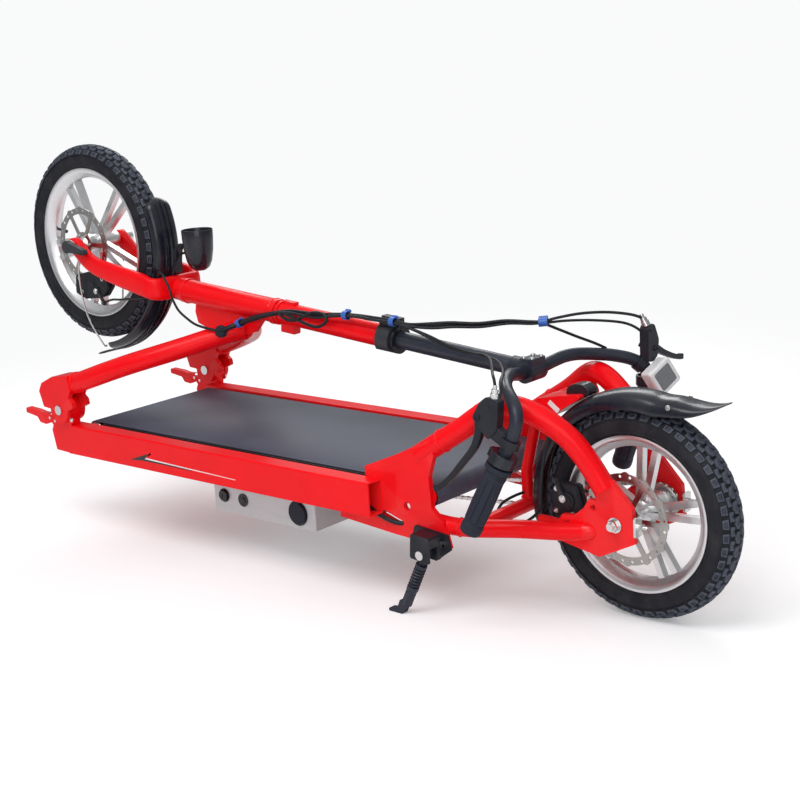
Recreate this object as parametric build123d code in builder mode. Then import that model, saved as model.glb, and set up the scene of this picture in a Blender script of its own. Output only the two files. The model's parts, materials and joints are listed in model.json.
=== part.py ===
"""Folding stand-on electric walking bike, in its folded state.

X points forward, Y to the rider's left and Z up, in millimetres. The pieces are drawn from the
point on the ground, in the middle plane, straight below the rear axle. They are written from
the centre of the walking belt's top face. Left pieces are modelled and then mirrored.
"""
from build123d import *
import math
import os

os.makedirs("parts", exist_ok=True)

# ---------------------------------------------------------------- driving dimensions
REAR_TYRE_R = 181.0
REAR_RIM_R = 133.0
FRONT_TYRE_R = 206.5
FRONT_RIM_R = 158.5
TYRE_WIDTH = 54.0
ROTOR_R = 80.0
ROTOR_T = 1.8
REAR_ROTOR_Y = 48.0
FRONT_ROTOR_Y = 40.0
REAR_AXLE_Z = REAR_TYRE_R
FRONT_AXLE_X, FRONT_AXLE_Z = 1349.0, 566.0

RAIL_IN, RAIL_OUT = 175.0, 211.0
RAIL_BOTTOM, RAIL_TOP = 161.0, 223.0
RAIL_REAR, RAIL_FRONT = 413.0, 1248.0
RAIL_WALL = 3.0

BELT_HALF = 160.0
BELT_T = 2.5
ROLLER_R = 17.5
ROLLER_Z = RAIL_TOP - BELT_T - ROLLER_R
REAR_ROLLER_X, FRONT_ROLLER_X = 318.0, 1218.0
SHAFT_R = 6.0
RUN_FIT = 0.05

CASE_X0, CASE_X1 = 598.0, 868.0
CASE_HALF = 160.0
CASE_BOTTOM = 89.0
CASE_WALL = 3.0

PLATE_IN, PLATE_OUT = 165.0, 175.0
DROP_IN, DROP_OUT = 70.0, 80.0

FOLD_X, FOLD_Z = 1250.0, 256.0
FOLD_EYE_R = 27.0
FOLD_CHEEK_R = 28.0
FOLD_PIN_R = 6.0
EYE_IN, EYE_OUT = 188.5, 211.0
ARM_IN, ARM_OUT = 177.5, 222.5
BOLT_X, BOLT_Z = 1285.0, 226.0
TRUNNION_X, TRUNNION_Z = 1308.0, 229.0

HEAD_LOW = (1082.0, 0.0, 478.0)
HEAD_TILT = 5.32
HEAD_LEN = 275.0
HEAD_R = 23.5
COLUMN_R = 21.0
STEM_R = 16.0
STEERER_R = 15.0
COLUMN_END = 564.0
BAR_AT = 873.0
BAR_R = 11.1
GRIP_R = 17.0

# The steering axis: local z runs from the fork crown to the handlebar, local x points up.
STEER = Plane(
    origin=HEAD_LOW,
    x_dir=(-math.sin(math.radians(HEAD_TILT)), 0, math.cos(math.radians(HEAD_TILT))),
    z_dir=(-math.cos(math.radians(HEAD_TILT)), 0, -math.sin(math.radians(HEAD_TILT))),
)


def steer_plane(along):
    """A plane across the steering axis, that far above the head tube's lower end."""
    return STEER.offset(along)


def side_plane(y):
    """A plane parallel to the middle plane whose sketch x is +X, sketch y is +Z, facing -Y."""
    return Plane(origin=(0, y, 0), x_dir=(1, 0, 0), z_dir=(0, -1, 0))


TO_BELT_CENTRE = Location((-(REAR_ROLLER_X + FRONT_ROLLER_X) / 2, 0, -(RAIL_TOP + RUN_FIT)))


def save(piece, label):
    """Write a finished piece, measured from the centre of the belt's top face."""
    placed = piece.part.moved(TO_BELT_CENTRE)
    placed.label = label
    export_step(placed, f"parts/{label}.step")


# ---------------------------------------------------------------- deck
END_CASTING = [(1236, 163), (1288, 165), (1297, 206), (1289, 222), (1277, 250), (1223, 250), (1236, 200)]
CROSS_MEMBERS_X = (480, 640, 826, 1010, 1175)

with BuildPart() as deck_rails:
    with BuildSketch(Plane.YZ.offset(RAIL_REAR)):
        with Locations(((RAIL_IN + RAIL_OUT) / 2, (RAIL_BOTTOM + RAIL_TOP) / 2)):
            RectangleRounded(RAIL_OUT - RAIL_IN, RAIL_TOP - RAIL_BOTTOM, 3)
    extrude(amount=RAIL_FRONT - RAIL_REAR)
    # The rails are hollow and open at the rear.
    with BuildSketch(Plane.YZ.offset(RAIL_REAR)):
        with Locations(((RAIL_IN + RAIL_OUT) / 2, (RAIL_BOTTOM + RAIL_TOP) / 2)):
            Rectangle(RAIL_OUT - RAIL_IN - 2 * RAIL_WALL, RAIL_TOP - RAIL_BOTTOM - 2 * RAIL_WALL)
    extrude(amount=RAIL_FRONT - RAIL_REAR - RAIL_WALL, mode=Mode.SUBTRACT)
    with BuildSketch(side_plane(EYE_OUT)):
        with BuildLine():
            Polyline(*END_CASTING, close=True)
        make_face()
        with Locations((FOLD_X, FOLD_Z)):
            Circle(FOLD_EYE_R)
    extrude(amount=EYE_OUT - EYE_IN)
    with BuildSketch(side_plane(EYE_OUT + 1)):
        with Locations((FOLD_X, FOLD_Z)):
            Circle(FOLD_PIN_R)
    extrude(amount=EYE_OUT - EYE_IN + 2, mode=Mode.SUBTRACT)
    # The slot in which the swing bolt hangs, and its pin's hole.
    with BuildSketch(side_plane(EYE_OUT)):
        with Locations((BOLT_X, BOLT_Z)):
            Circle(11)
    extrude(amount=EYE_OUT - EYE_IN)
    with BuildSketch(side_plane(207)):
        with Locations((1293, 202.5)):
            Rectangle(34, 85)
    extrude(amount=14, mode=Mode.SUBTRACT)
    with BuildSketch(side_plane(EYE_OUT)):
        with Locations((BOLT_X, BOLT_Z)):
            Circle(3)
    extrude(amount=EYE_OUT - EYE_IN, mode=Mode.SUBTRACT)
    with BuildSketch(side_plane(RAIL_IN + 0.5)):
        for cross_x in CROSS_MEMBERS_X:
            with Locations((cross_x, 170.5)):
                Rectangle(40, 19)
    extrude(amount=RAIL_IN + 0.5)
    mirror(about=Plane.XZ)

save(deck_rails, "deck_rails")


# ---------------------------------------------------------------- rear frame
GUSSET = [
    (450, 240), (375, 271), (329, 293), (306, 301), (292, 280), (306, 240), (303, 185), (280, 164),
    (268, 120), (387, 126), (517, 137), (517, 161), (450, 161),
]
DROPOUT = [
    (-36, 154), (-32, 212), (4, 252), (30, 262), (44, 236), (34, 216), (50, 216), (60, 200), (80, 184),
    (104, 182), (112, 170), (152, 172), (156, 146), (100, 134), (32, 121),
]
CALIPER_HOLES = ((42, 203), (94, 168))
ARCH_PATH = [
    (334, 160, 272), (284, 157, 303), (231, 151, 337), (178, 136, 369), (112, 110, 350),
    (72, 95, 318), (44, 83, 278), (20, 76, 236),
]
LOWER_PATH = [(330, 157, 160), (262, 150, 153), (170, 120, 157), (100, 92, 157), (56, 77, 160)]
ARCH_R, LOWER_R, TUBE_WALL = 19.0, 15.5, 2.5
BRIDGE_X, BRIDGE_Z, BRIDGE_LEAN = 200.0, 334.0, -24.0
CROSS_TUBE_X, CROSS_TUBE_Z, CROSS_TUBE_R = 232.0, 157.0, 13.0
SEAT_DEPTH_Y = 172.0

with BuildPart() as rear_frame:
    for path_points, tube_r in ((ARCH_PATH, ARCH_R), (LOWER_PATH, LOWER_R)):
        with BuildLine() as tube_path:
            Spline(*path_points)
        with BuildSketch(Plane(origin=tube_path.line @ 0, z_dir=tube_path.line % 0)):
            Circle(tube_r)
        sweep()
    with BuildSketch(side_plane(PLATE_OUT)):
        with BuildLine():
            Polyline(*GUSSET, close=True)
        make_face()
    extrude(amount=PLATE_OUT - PLATE_IN)
    with BuildSketch(side_plane(PLATE_IN)):
        with Locations((REAR_ROLLER_X, ROLLER_Z)):
            Circle(17)
    extrude(amount=3)
    with BuildSketch(side_plane(DROP_OUT)):
        with BuildLine():
            Polyline(*DROPOUT, close=True)
        make_face()
    extrude(amount=DROP_OUT - DROP_IN)
    # The flat bridge between the arches and the round tube between the lower tubes.
    with BuildSketch(side_plane(142)):
        with Locations(Location((BRIDGE_X, BRIDGE_Z), BRIDGE_LEAN)):
            RectangleRounded(50, 28, 5)
    extrude(amount=142)
    with BuildSketch(side_plane(143)):
        with Locations((CROSS_TUBE_X, CROSS_TUBE_Z)):
            Circle(CROSS_TUBE_R)
    extrude(amount=143)
    mirror(about=Plane.XZ)
    # The post that joins the cross tube to the bridge, bent halfway up.
    with BuildSketch(Plane.XY.offset(160)):
        with Locations((CROSS_TUBE_X, 0)):
            Circle(10)
    extrude(amount=60)
    with BuildSketch(Plane(origin=(CROSS_TUBE_X, 0, 218), z_dir=(-28, 0, 104))):
        Circle(10)
    extrude(amount=112)
    # Sight holes, cable slots and axle slots through both sides, then the blind bearing seats.
    with BuildSketch(side_plane(PLATE_OUT + 1)):
        with Locations((358, 181)):
            Circle(7.5)
        with Locations(Location((398, 157), 17)):
            SlotOverall(64, 9)
        with Locations((-1, REAR_AXLE_Z)):
            SlotOverall(24, 12.2)
    extrude(amount=2 * PLATE_OUT + 2, mode=Mode.SUBTRACT)
    with BuildSketch(side_plane(SEAT_DEPTH_Y)):
        with Locations((REAR_ROLLER_X, ROLLER_Z)):
            Circle(12)
    extrude(amount=2 * SEAT_DEPTH_Y, mode=Mode.SUBTRACT)
    with BuildSketch(side_plane(DROP_OUT + 1)):
        with Locations(*CALIPER_HOLES):
            Circle(5.05)
    extrude(amount=12, mode=Mode.SUBTRACT)

save(rear_frame, "rear_frame")

# ---------------------------------------------------------------- walking surface
with BuildPart() as walking_belt:
    with BuildSketch(side_plane(BELT_HALF)):
        with Locations(((REAR_ROLLER_X + FRONT_ROLLER_X) / 2, ROLLER_Z)):
            SlotCenterToCenter(FRONT_ROLLER_X - REAR_ROLLER_X, 2 * (ROLLER_R + RUN_FIT + BELT_T))
            SlotCenterToCenter(
                FRONT_ROLLER_X - REAR_ROLLER_X, 2 * (ROLLER_R + RUN_FIT), mode=Mode.SUBTRACT
            )
    extrude(amount=2 * BELT_HALF)

save(walking_belt, "walking_belt")

# The board the belt slides on. Its edges reach past the belt and rest in the rails' inner faces.
with BuildPart() as slide_bed:
    with BuildSketch(Plane.XY.offset(ROLLER_Z + 2)):
        with Locations(((REAR_ROLLER_X + FRONT_ROLLER_X) / 2 + 12, 0)):
            Rectangle(FRONT_ROLLER_X - REAR_ROLLER_X - 84, 2 * RAIL_IN - 22)
    extrude(amount=ROLLER_R - 2.4)
    with BuildSketch(Plane.XY.offset(ROLLER_Z + 2)):
        for cross_x in CROSS_MEMBERS_X:
            for side in (-1, 1):
                with Locations((cross_x, side * 168.5)):
                    Rectangle(40, 13)
    extrude(amount=8)

save(slide_bed, "slide_bed")


def roller(centre_x, shaft_half):
    """A crowned-end steel roller with its stub shafts, lying across the deck."""
    with BuildPart() as made:
        with BuildSketch(side_plane(158)):
            with Locations((centre_x, ROLLER_Z)):
                Circle(ROLLER_R)
        extrude(amount=316)
        chamfer(made.edges().filter_by(GeomType.CIRCLE), 1)
        with BuildSketch(side_plane(shaft_half)):
            with Locations((centre_x, ROLLER_Z)):
                Circle(SHAFT_R)
        extrude(amount=2 * shaft_half)
    return made


rear_roller = roller(REAR_ROLLER_X, SEAT_DEPTH_Y - 1)
save(rear_roller, "rear_roller")
front_roller = roller(FRONT_ROLLER_X, 173)
save(front_roller, "front_roller")

with BuildPart() as roller_bearings:
    for bearing_x, face_y, ring_r, ring_w in (
        (REAR_ROLLER_X, SEAT_DEPTH_Y, 12, 9.5),
        (FRONT_ROLLER_X, 175, 15, 12),
    ):
        with BuildSketch(side_plane(face_y)):
            with Locations((bearing_x, ROLLER_Z)):
                Circle(ring_r)
                Circle(SHAFT_R + RUN_FIT, mode=Mode.SUBTRACT)
        extrude(amount=ring_w)
    mirror(about=Plane.XZ)

save(roller_bearings, "roller_bearings")

# ---------------------------------------------------------------- case under the deck
CASE_MID_X = (CASE_X0 + CASE_X1) / 2
CAP_X, CAP_Z, CAP_R = 640.0, 118.0, 21.0
LOCK_X, LOCK_Z = 838.0, 122.0
BUTTON_X, BUTTON_Z, BUTTON_R = 786.0, 120.0, 6.0

with BuildPart() as belly_case:
    with BuildSketch(Plane.XY.offset(CASE_BOTTOM)):
        with Locations((CASE_MID_X, 0)):
            RectangleRounded(CASE_X1 - CASE_X0, 2 * CASE_HALF, 4)
    extrude(amount=RAIL_BOTTOM - CASE_BOTTOM)
    with BuildSketch(Plane.XY.offset(CASE_BOTTOM + CASE_WALL)):
        with Locations((CASE_MID_X, 0)):
            Rectangle(CASE_X1 - CASE_X0 - 2 * CASE_WALL, 2 * (CASE_HALF - CASE_WALL))
    extrude(amount=RAIL_BOTTOM - CASE_BOTTOM - 2 * CASE_WALL, mode=Mode.SUBTRACT)
    with BuildSketch(side_plane(CASE_HALF + 1)):
        with Locations((CAP_X, CAP_Z)):
            Circle(15)
        with Locations((LOCK_X, LOCK_Z)):
            Circle(8.05)
        with Locations((BUTTON_X, BUTTON_Z)):
            Circle(BUTTON_R + RUN_FIT)
    extrude(amount=CASE_WALL + 2, mode=Mode.SUBTRACT)

save(belly_case, "belly_case")

with BuildPart() as battery_pack:
    with BuildSketch(Plane.XY.offset(CASE_BOTTOM + CASE_WALL)):
        with Locations((CASE_MID_X, -18)):
            RectangleRounded(250, 240, 6)
    extrude(amount=52)
    fillet(battery_pack.faces().sort_by(Axis.Z)[-1].edges(), 3)

save(battery_pack, "battery_pack")

with BuildPart() as motor_controller:
    with BuildSketch(Plane.XY.offset(CASE_BOTTOM + CASE_WALL)):
        with Locations((712, 124)):
            RectangleRounded(90, 32, 3)
    extrude(amount=28)
    with BuildSketch(Plane.XY.offset(CASE_BOTTOM + CASE_WALL + 28)):
        for fin in range(7):
            with Locations((676 + 12 * fin, 124)):
                Rectangle(3, 30)
    extrude(amount=6)

save(motor_controller, "motor_controller")

# The rubber cap of the charging socket: a plug in the wall, a flange outside, its tab and the
# round lip it folds about.
with BuildPart() as port_cap:
    with BuildSketch(side_plane(CASE_HALF + 5)):
        with Locations((CAP_X, CAP_Z)):
            Circle(CAP_R)
        with Locations((CAP_X, CAP_Z + 20)):
            Rectangle(16, 14)
    extrude(amount=4.9)
    fillet(port_cap.faces().sort_by(Axis.Y)[-1].edges(), 1.5)
    with BuildSketch(side_plane(CASE_HALF + 0.1)):
        with Locations((CAP_X, CAP_Z)):
            Circle(13)
    extrude(amount=3)
    with BuildSketch(Plane.YZ.offset(CAP_X - 8)):
        with Locations((CASE_HALF + 2.5, CAP_Z + 27)):
            Circle(2.4)
    extrude(amount=16)

save(port_cap, "port_cap")

with BuildPart() as key_switch:
    with BuildSketch(side_plane(CASE_HALF + 6)):
        with Locations((LOCK_X, LOCK_Z)):
            Circle(11)
    extrude(amount=5.9)
    chamfer(key_switch.faces().sort_by(Axis.Y)[-1].edges(), 1)
    with BuildSketch(side_plane(CASE_HALF + 0.1)):
        with Locations((LOCK_X, LOCK_Z)):
            Circle(8)
    extrude(amount=14)
    with BuildSketch(side_plane(CASE_HALF + 7)):
        with Locations((LOCK_X, LOCK_Z)):
            Rectangle(2, 9)
    extrude(amount=6, mode=Mode.SUBTRACT)

save(key_switch, "key_switch")

with BuildPart() as power_button:
    with BuildSketch(side_plane(CASE_HALF + 3)):
        with Locations((BUTTON_X, BUTTON_Z)):
            Circle(BUTTON_R)
    extrude(amount=12)
    fillet(power_button.faces().sort_by(Axis.Y)[-1].edges(), 1)

save(power_button, "power_button")

# ---------------------------------------------------------------- drive
MOTOR_X, MOTOR_Z, MOTOR_R = 545.0, 128.0, 28.0
CHAIN_Y = -60.0
MOTOR_SPROCKET_R, WHEEL_SPROCKET_R = 16.0, 30.0
CHAIN_HALF = 3.5

with BuildPart() as drive_motor:
    with BuildSketch(side_plane(60)):
        with Locations((MOTOR_X, MOTOR_Z)):
            Circle(MOTOR_R)
    extrude(amount=112)
    fillet(drive_motor.edges().filter_by(GeomType.CIRCLE), 3)
    # Foot that hangs the motor from a bracket between the deck's cross members.
    with BuildSketch(side_plane(40)):
        with Locations((MOTOR_X, 158)):
            Rectangle(40, 44)
    extrude(amount=70)
    with BuildSketch(Plane.XY.offset(176)):
        with Locations((560, 5)):
            Rectangle(120, 60)
    extrude(amount=4)
    with BuildSketch(side_plane(-70)):
        with Locations((MOTOR_X, MOTOR_Z)):
            Circle(5)
    extrude(amount=-20, mode=Mode.SUBTRACT)

save(drive_motor, "drive_motor")


def sprocket(centre_x, centre_z, pitch_r, bore_r, teeth):
    """A flat sprocket in the chain's plane with round-topped teeth."""
    with BuildPart() as made:
        with BuildSketch(side_plane(CHAIN_Y + 1.5)):
            with Locations((centre_x, centre_z)):
                Circle(pitch_r - CHAIN_HALF - 0.2)
                Circle(bore_r, mode=Mode.SUBTRACT)
            with Locations((centre_x, centre_z)):
                with PolarLocations(pitch_r - CHAIN_HALF - 0.6, teeth):
                    Circle(0.35)
        extrude(amount=3)
    return made


wheel_sprocket = sprocket(0, REAR_AXLE_Z, WHEEL_SPROCKET_R, 17.05, 20)
save(wheel_sprocket, "wheel_sprocket")

with BuildPart() as motor_sprocket:
    with BuildSketch(side_plane(CHAIN_Y + 1.5)):
        with Locations((MOTOR_X, MOTOR_Z)):
            Circle(MOTOR_SPROCKET_R - CHAIN_HALF - 0.2)
    extrude(amount=3)
    with BuildSketch(side_plane(-51)):
        with Locations((MOTOR_X, MOTOR_Z)):
            Circle(5 - RUN_FIT)
    extrude(amount=16)

save(motor_sprocket, "motor_sprocket")


def chain_outline(clear):
    """The chain loop's outline, that far outside the sprockets' pitch circles."""
    big = (0, REAR_AXLE_Z)
    small = (MOTOR_X, MOTOR_Z)
    span = math.hypot(small[0] - big[0], small[1] - big[1])
    lean = math.atan2(small[1] - big[1], small[0] - big[0])
    open_angle = math.acos((WHEEL_SPROCKET_R - MOTOR_SPROCKET_R) / span)
    ends = []
    for sign in (1, -1):
        for centre, radius in ((big, WHEEL_SPROCKET_R), (small, MOTOR_SPROCKET_R)):
            turn = lean + sign * open_angle
            reach = radius + clear
            ends.append((centre[0] + reach * math.cos(turn), centre[1] + reach * math.sin(turn)))
    far = lean + math.pi
    back = (
        big[0] + (WHEEL_SPROCKET_R + clear) * math.cos(far),
        big[1] + (WHEEL_SPROCKET_R + clear) * math.sin(far),
    )
    front = (
        small[0] + (MOTOR_SPROCKET_R + clear) * math.cos(lean),
        small[1] + (MOTOR_SPROCKET_R + clear) * math.sin(lean),
    )
    return ends, back, front


with BuildPart() as drive_chain:
    for clear, chain_mode in ((CHAIN_HALF, Mode.ADD), (-CHAIN_HALF, Mode.SUBTRACT)):
        chain_ends, chain_back, chain_front = chain_outline(clear)
        with BuildSketch(side_plane(CHAIN_Y + 4)):
            with BuildLine():
                Line(chain_ends[0], chain_ends[1])
                ThreePointArc(chain_ends[1], chain_front, chain_ends[3])
                Line(chain_ends[3], chain_ends[2])
                ThreePointArc(chain_ends[2], chain_back, chain_ends[0])
            make_face()
        extrude(amount=8, mode=chain_mode)

save(drive_chain, "drive_chain")

# ---------------------------------------------------------------- wheels
SPOKE_COUNT = 5


def wheel_plane(centre_x, centre_z):
    """A plane through a wheel's axle whose sketch x is +Y, along the axle, and sketch y is +Z."""
    return Plane(origin=(centre_x, 0, centre_z), x_dir=(0, 1, 0), z_dir=(1, 0, 0))


def axle_line(centre_x, centre_z):
    return Axis((centre_x, 0, centre_z), (0, 1, 0))


def cast_rim(centre_x, centre_z, flange_r, hub_profile, first_spoke):
    """A one-piece cast wheel: channel rim, hub barrel and five pairs of spokes."""
    channel = [
        (-22, flange_r), (-19.5, flange_r), (-19.5, flange_r - 5), (-9, flange_r - 12),
        (9, flange_r - 12), (19.5, flange_r - 5), (19.5, flange_r), (22, flange_r),
        (21, flange_r - 7), (12, flange_r - 16), (6, flange_r - 21), (-6, flange_r - 21),
        (-12, flange_r - 16), (-21, flange_r - 7),
    ]
    with BuildPart() as made:
        with BuildSketch(wheel_plane(centre_x, centre_z)):
            with BuildLine():
                Polyline(*channel, close=True)
            make_face()
            with BuildLine():
                Polyline(*hub_profile, close=True)
            make_face()
        revolve(axis=axle_line(centre_x, centre_z))
        with BuildSketch(side_plane(7)):
            for spoke in range(SPOKE_COUNT):
                for lean in (-1, 1):
                    turn = first_spoke + spoke * 360 / SPOKE_COUNT + lean * 8.5
                    reach = (flange_r + 2) / 2
                    spoke_x = centre_x + reach * math.cos(math.radians(turn))
                    spoke_z = centre_z + reach * math.sin(math.radians(turn))
                    with Locations(Location((spoke_x, spoke_z), turn - lean * 3)):
                        Rectangle(flange_r - 32, 11)
        extrude(amount=14)
    return made


def tyre(centre_x, centre_z, flange_r, tyre_r):
    """A hollow tyre whose beads sit in the rim's channel."""
    half = TYRE_WIDTH / 2
    middle = flange_r + 0.45 * (tyre_r - flange_r)
    with BuildPart() as made:
        with BuildSketch(wheel_plane(centre_x, centre_z)):
            with BuildLine():
                Polyline(
                    (19.2, flange_r + 2), (19.2, flange_r - 4),
                    (-19.2, flange_r - 4), (-19.2, flange_r + 2),
                )
                Spline(
                    (-19.2, flange_r + 2), (-half, middle), (-18, tyre_r - 5), (0, tyre_r),
                    (18, tyre_r - 5), (half, middle), (19.2, flange_r + 2),
                )
            make_face()
            with BuildLine():
                Polyline(
                    (14.5, flange_r + 2), (14.5, flange_r - 4),
                    (-14.5, flange_r - 4), (-14.5, flange_r + 2),
                )
                Spline(
                    (-14.5, flange_r + 2), (4 - half, middle), (-13, tyre_r - 11), (0, tyre_r - 8),
                    (13, tyre_r - 11), (half - 4, middle), (14.5, flange_r + 2),
                )
            make_face(mode=Mode.SUBTRACT)
        revolve(axis=axle_line(centre_x, centre_z))
    return made


def rotor(centre_x, centre_z, middle_y):
    """A wavy-edged brake disc with a drilled band and six arms."""
    with BuildPart() as made:
        with BuildSketch(side_plane(middle_y + ROTOR_T / 2)):
            with Locations((centre_x, centre_z)):
                Circle(ROTOR_R - 3)
                with PolarLocations(ROTOR_R - 9, 12):
                    Circle(9)
                Circle(ROTOR_R - 16, mode=Mode.SUBTRACT)
                with PolarLocations(ROTOR_R - 8, 24, start_angle=7.5):
                    Circle(2.6, mode=Mode.SUBTRACT)
                with PolarLocations(44, 6):
                    Rectangle(50, 9)
                Circle(26)
                Circle(17, mode=Mode.SUBTRACT)
        extrude(amount=ROTOR_T)
    return made


REAR_HUB = [
    (-62, 13), (-62, 17), (-50, 17), (-48, 24), (-20, 21), (20, 21), (42, 26), (REAR_ROTOR_Y - 0.9, 26),
    (REAR_ROTOR_Y - 0.9, 16.9), (REAR_ROTOR_Y + 1, 16.9), (REAR_ROTOR_Y + 1, 13),
]
FRONT_HUB = [
    (-47, 6.05), (-47, 11), (-44, 19), (-30, 22), (20, 20), (34, 25), (FRONT_ROTOR_Y - 0.9, 26),
    (FRONT_ROTOR_Y - 0.9, 16.9), (FRONT_ROTOR_Y + 1, 16.9), (47, 11), (47, 6.05),
]

rear_rim = cast_rim(0, REAR_AXLE_Z, REAR_RIM_R, REAR_HUB, 27)
save(rear_rim, "rear_rim")
rear_tyre = tyre(0, REAR_AXLE_Z, REAR_RIM_R, REAR_TYRE_R)
save(rear_tyre, "rear_tyre")
rear_rotor = rotor(0, REAR_AXLE_Z, REAR_ROTOR_Y)
save(rear_rotor, "rear_rotor")
front_rim = cast_rim(FRONT_AXLE_X, FRONT_AXLE_Z, FRONT_RIM_R, FRONT_HUB, 62)
save(front_rim, "front_rim")
front_tyre = tyre(FRONT_AXLE_X, FRONT_AXLE_Z, FRONT_RIM_R, FRONT_TYRE_R)
save(front_tyre, "front_tyre")
front_rotor = rotor(FRONT_AXLE_X, FRONT_AXLE_Z, FRONT_ROTOR_Y)
save(front_rotor, "front_rotor")


def hub_bearings(centre_x, centre_z, left_y, right_y, bore_r):
    """The two bearing rings of a hub, each 10 wide, named by their outer faces."""
    with BuildPart() as made:
        for face_y in (left_y, right_y + 10):
            with BuildSketch(side_plane(face_y)):
                with Locations((centre_x, centre_z)):
                    Circle(13)
                    Circle(bore_r + RUN_FIT, mode=Mode.SUBTRACT)
            extrude(amount=10)
    return made


rear_hub_bearings = hub_bearings(0, REAR_AXLE_Z, REAR_ROTOR_Y + 1, -62, 6)
save(rear_hub_bearings, "rear_hub_bearings")

with BuildPart() as rear_axle:
    with BuildSketch(side_plane(97)):
        with Locations((0, REAR_AXLE_Z)):
            Circle(6)
    extrude(amount=194)
    for face_y in (69.9, -52 - 11):
        with BuildSketch(side_plane(face_y)):
            with Locations((0, REAR_AXLE_Z)):
                Circle(8.5)
        extrude(amount=6.9 if face_y < 0 else 19)

save(rear_axle, "rear_axle")

with BuildPart() as rear_axle_nuts:
    for face_y in (92, -80.1):
        with BuildSketch(side_plane(face_y)):
            with Locations((0, REAR_AXLE_Z)):
                RegularPolygon(10, 6)
                Circle(6, mode=Mode.SUBTRACT)
        extrude(amount=9)
    for face_y in (83, -80.1):
        with BuildSketch(side_plane(face_y)):
            with Locations((0, REAR_AXLE_Z)):
                Circle(13)
                Circle(6, mode=Mode.SUBTRACT)
        extrude(amount=2.9)

save(rear_axle_nuts, "rear_axle_nuts")

with BuildPart() as chain_adjusters:
    with BuildSketch(Plane.YZ.offset(-41)):
        with Locations((75, REAR_AXLE_Z + 2)):
            RectangleRounded(19, 34, 3)
    extrude(amount=4)
    with BuildSketch(Plane.YZ.offset(-58)):
        with Locations((75, REAR_AXLE_Z + 2)):
            Circle(3)
    extrude(amount=18)
    with BuildSketch(Plane.YZ.offset(-50)):
        with Locations((75, REAR_AXLE_Z + 2)):
            RegularPolygon(6.5, 6)
    extrude(amount=9)
    mirror(about=Plane.XZ)

save(chain_adjusters, "chain_adjusters")

# ---------------------------------------------------------------- brake calipers
REAR_ARM_PIVOT = (112.0, 203.0)
FRONT_ARM_PIVOT = (1306.0, 470.0)


def caliper(pad_outline, bridge_outline, rotor_y, outer_y, arm_pivot):
    """A two-sided caliper: an inner and an outer half over the disc, and the arm's shaft."""
    with BuildPart() as made:
        for face_y, depth in ((rotor_y - 2.2, 9), (outer_y, outer_y - rotor_y - 2.2)):
            with BuildSketch(side_plane(face_y)) as half_shape:
                with BuildLine():
                    Polyline(*pad_outline, close=True)
                make_face()
                fillet(half_shape.vertices(), 3)
            extrude(amount=depth)
        with BuildSketch(side_plane(outer_y)) as bridge_shape:
            with BuildLine():
                Polyline(*bridge_outline, close=True)
            make_face()
            fillet(bridge_shape.vertices(), 2)
        extrude(amount=outer_y - rotor_y + 11.2)
        with BuildSketch(side_plane(outer_y + 6.5)):
            with Locations(arm_pivot):
                Circle(4)
        extrude(amount=6.5)
    return made


REAR_PAD = [(52, 200), (62, 224), (128, 226), (140, 206), (134, 172), (86, 168), (80, 190)]
REAR_BRIDGE = [(86, 207), (90, 225), (128, 226), (140, 206), (134, 172), (92, 168), (88, 186)]
rear_caliper = caliper(REAR_PAD, REAR_BRIDGE, REAR_ROTOR_Y, 60, REAR_ARM_PIVOT)
save(rear_caliper, "rear_caliper")

FRONT_PAD = [(1372, 505), (1380, 462), (1344, 450), (1290, 456), (1268, 480), (1276, 512), (1330, 512)]
FRONT_BRIDGE = [
    (1372, 478), (1374, 460), (1344, 450), (1290, 456), (1268, 480), (1274, 504), (1300, 492),
    (1344, 480),
]
front_caliper = caliper(FRONT_PAD, FRONT_BRIDGE, FRONT_ROTOR_Y, 49, FRONT_ARM_PIVOT)
save(front_caliper, "front_caliper")


def caliper_arm(pivot, tip, outer_y):
    """The cable arm on a caliper's shaft, 4 thick, with a cable clamp at its tip."""
    with BuildPart() as made:
        with BuildSketch(side_plane(outer_y + 5.5)):
            with Locations(pivot):
                Circle(8)
            with Locations(tip):
                Circle(5)
            with BuildLine():
                Polyline(
                    (pivot[0] - 5, pivot[1]), (tip[0] - 3, tip[1]),
                    (tip[0] + 3, tip[1]), (pivot[0] + 5, pivot[1]),
                    close=True,
                )
            make_face()
            with Locations(pivot):
                Circle(4 + RUN_FIT, mode=Mode.SUBTRACT)
        extrude(amount=4.5)
        with BuildSketch(side_plane(outer_y + 8)):
            with Locations(tip):
                RegularPolygon(4, 6)
        extrude(amount=2.5)
    return made


rear_caliper_arm = caliper_arm(REAR_ARM_PIVOT, (126, 232), 60)
save(rear_caliper_arm, "rear_caliper_arm")
front_caliper_arm = caliper_arm(FRONT_ARM_PIVOT, (1284, 446), 49)
save(front_caliper_arm, "front_caliper_arm")

# ---------------------------------------------------------------- fenders
REAR_FENDER_R, FRONT_FENDER_R = 203.0, 229.0
FENDER_T, FENDER_HALF = 2.5, 35.0


def fender_plane(centre_x, centre_z, turn):
    """A plane holding a wheel's axle and pointing that many degrees up from forward."""
    lean = math.radians(turn)
    return Plane(
        origin=(centre_x, 0, centre_z), x_dir=(0, 1, 0), z_dir=(math.sin(lean), 0, -math.cos(lean))
    )


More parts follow.
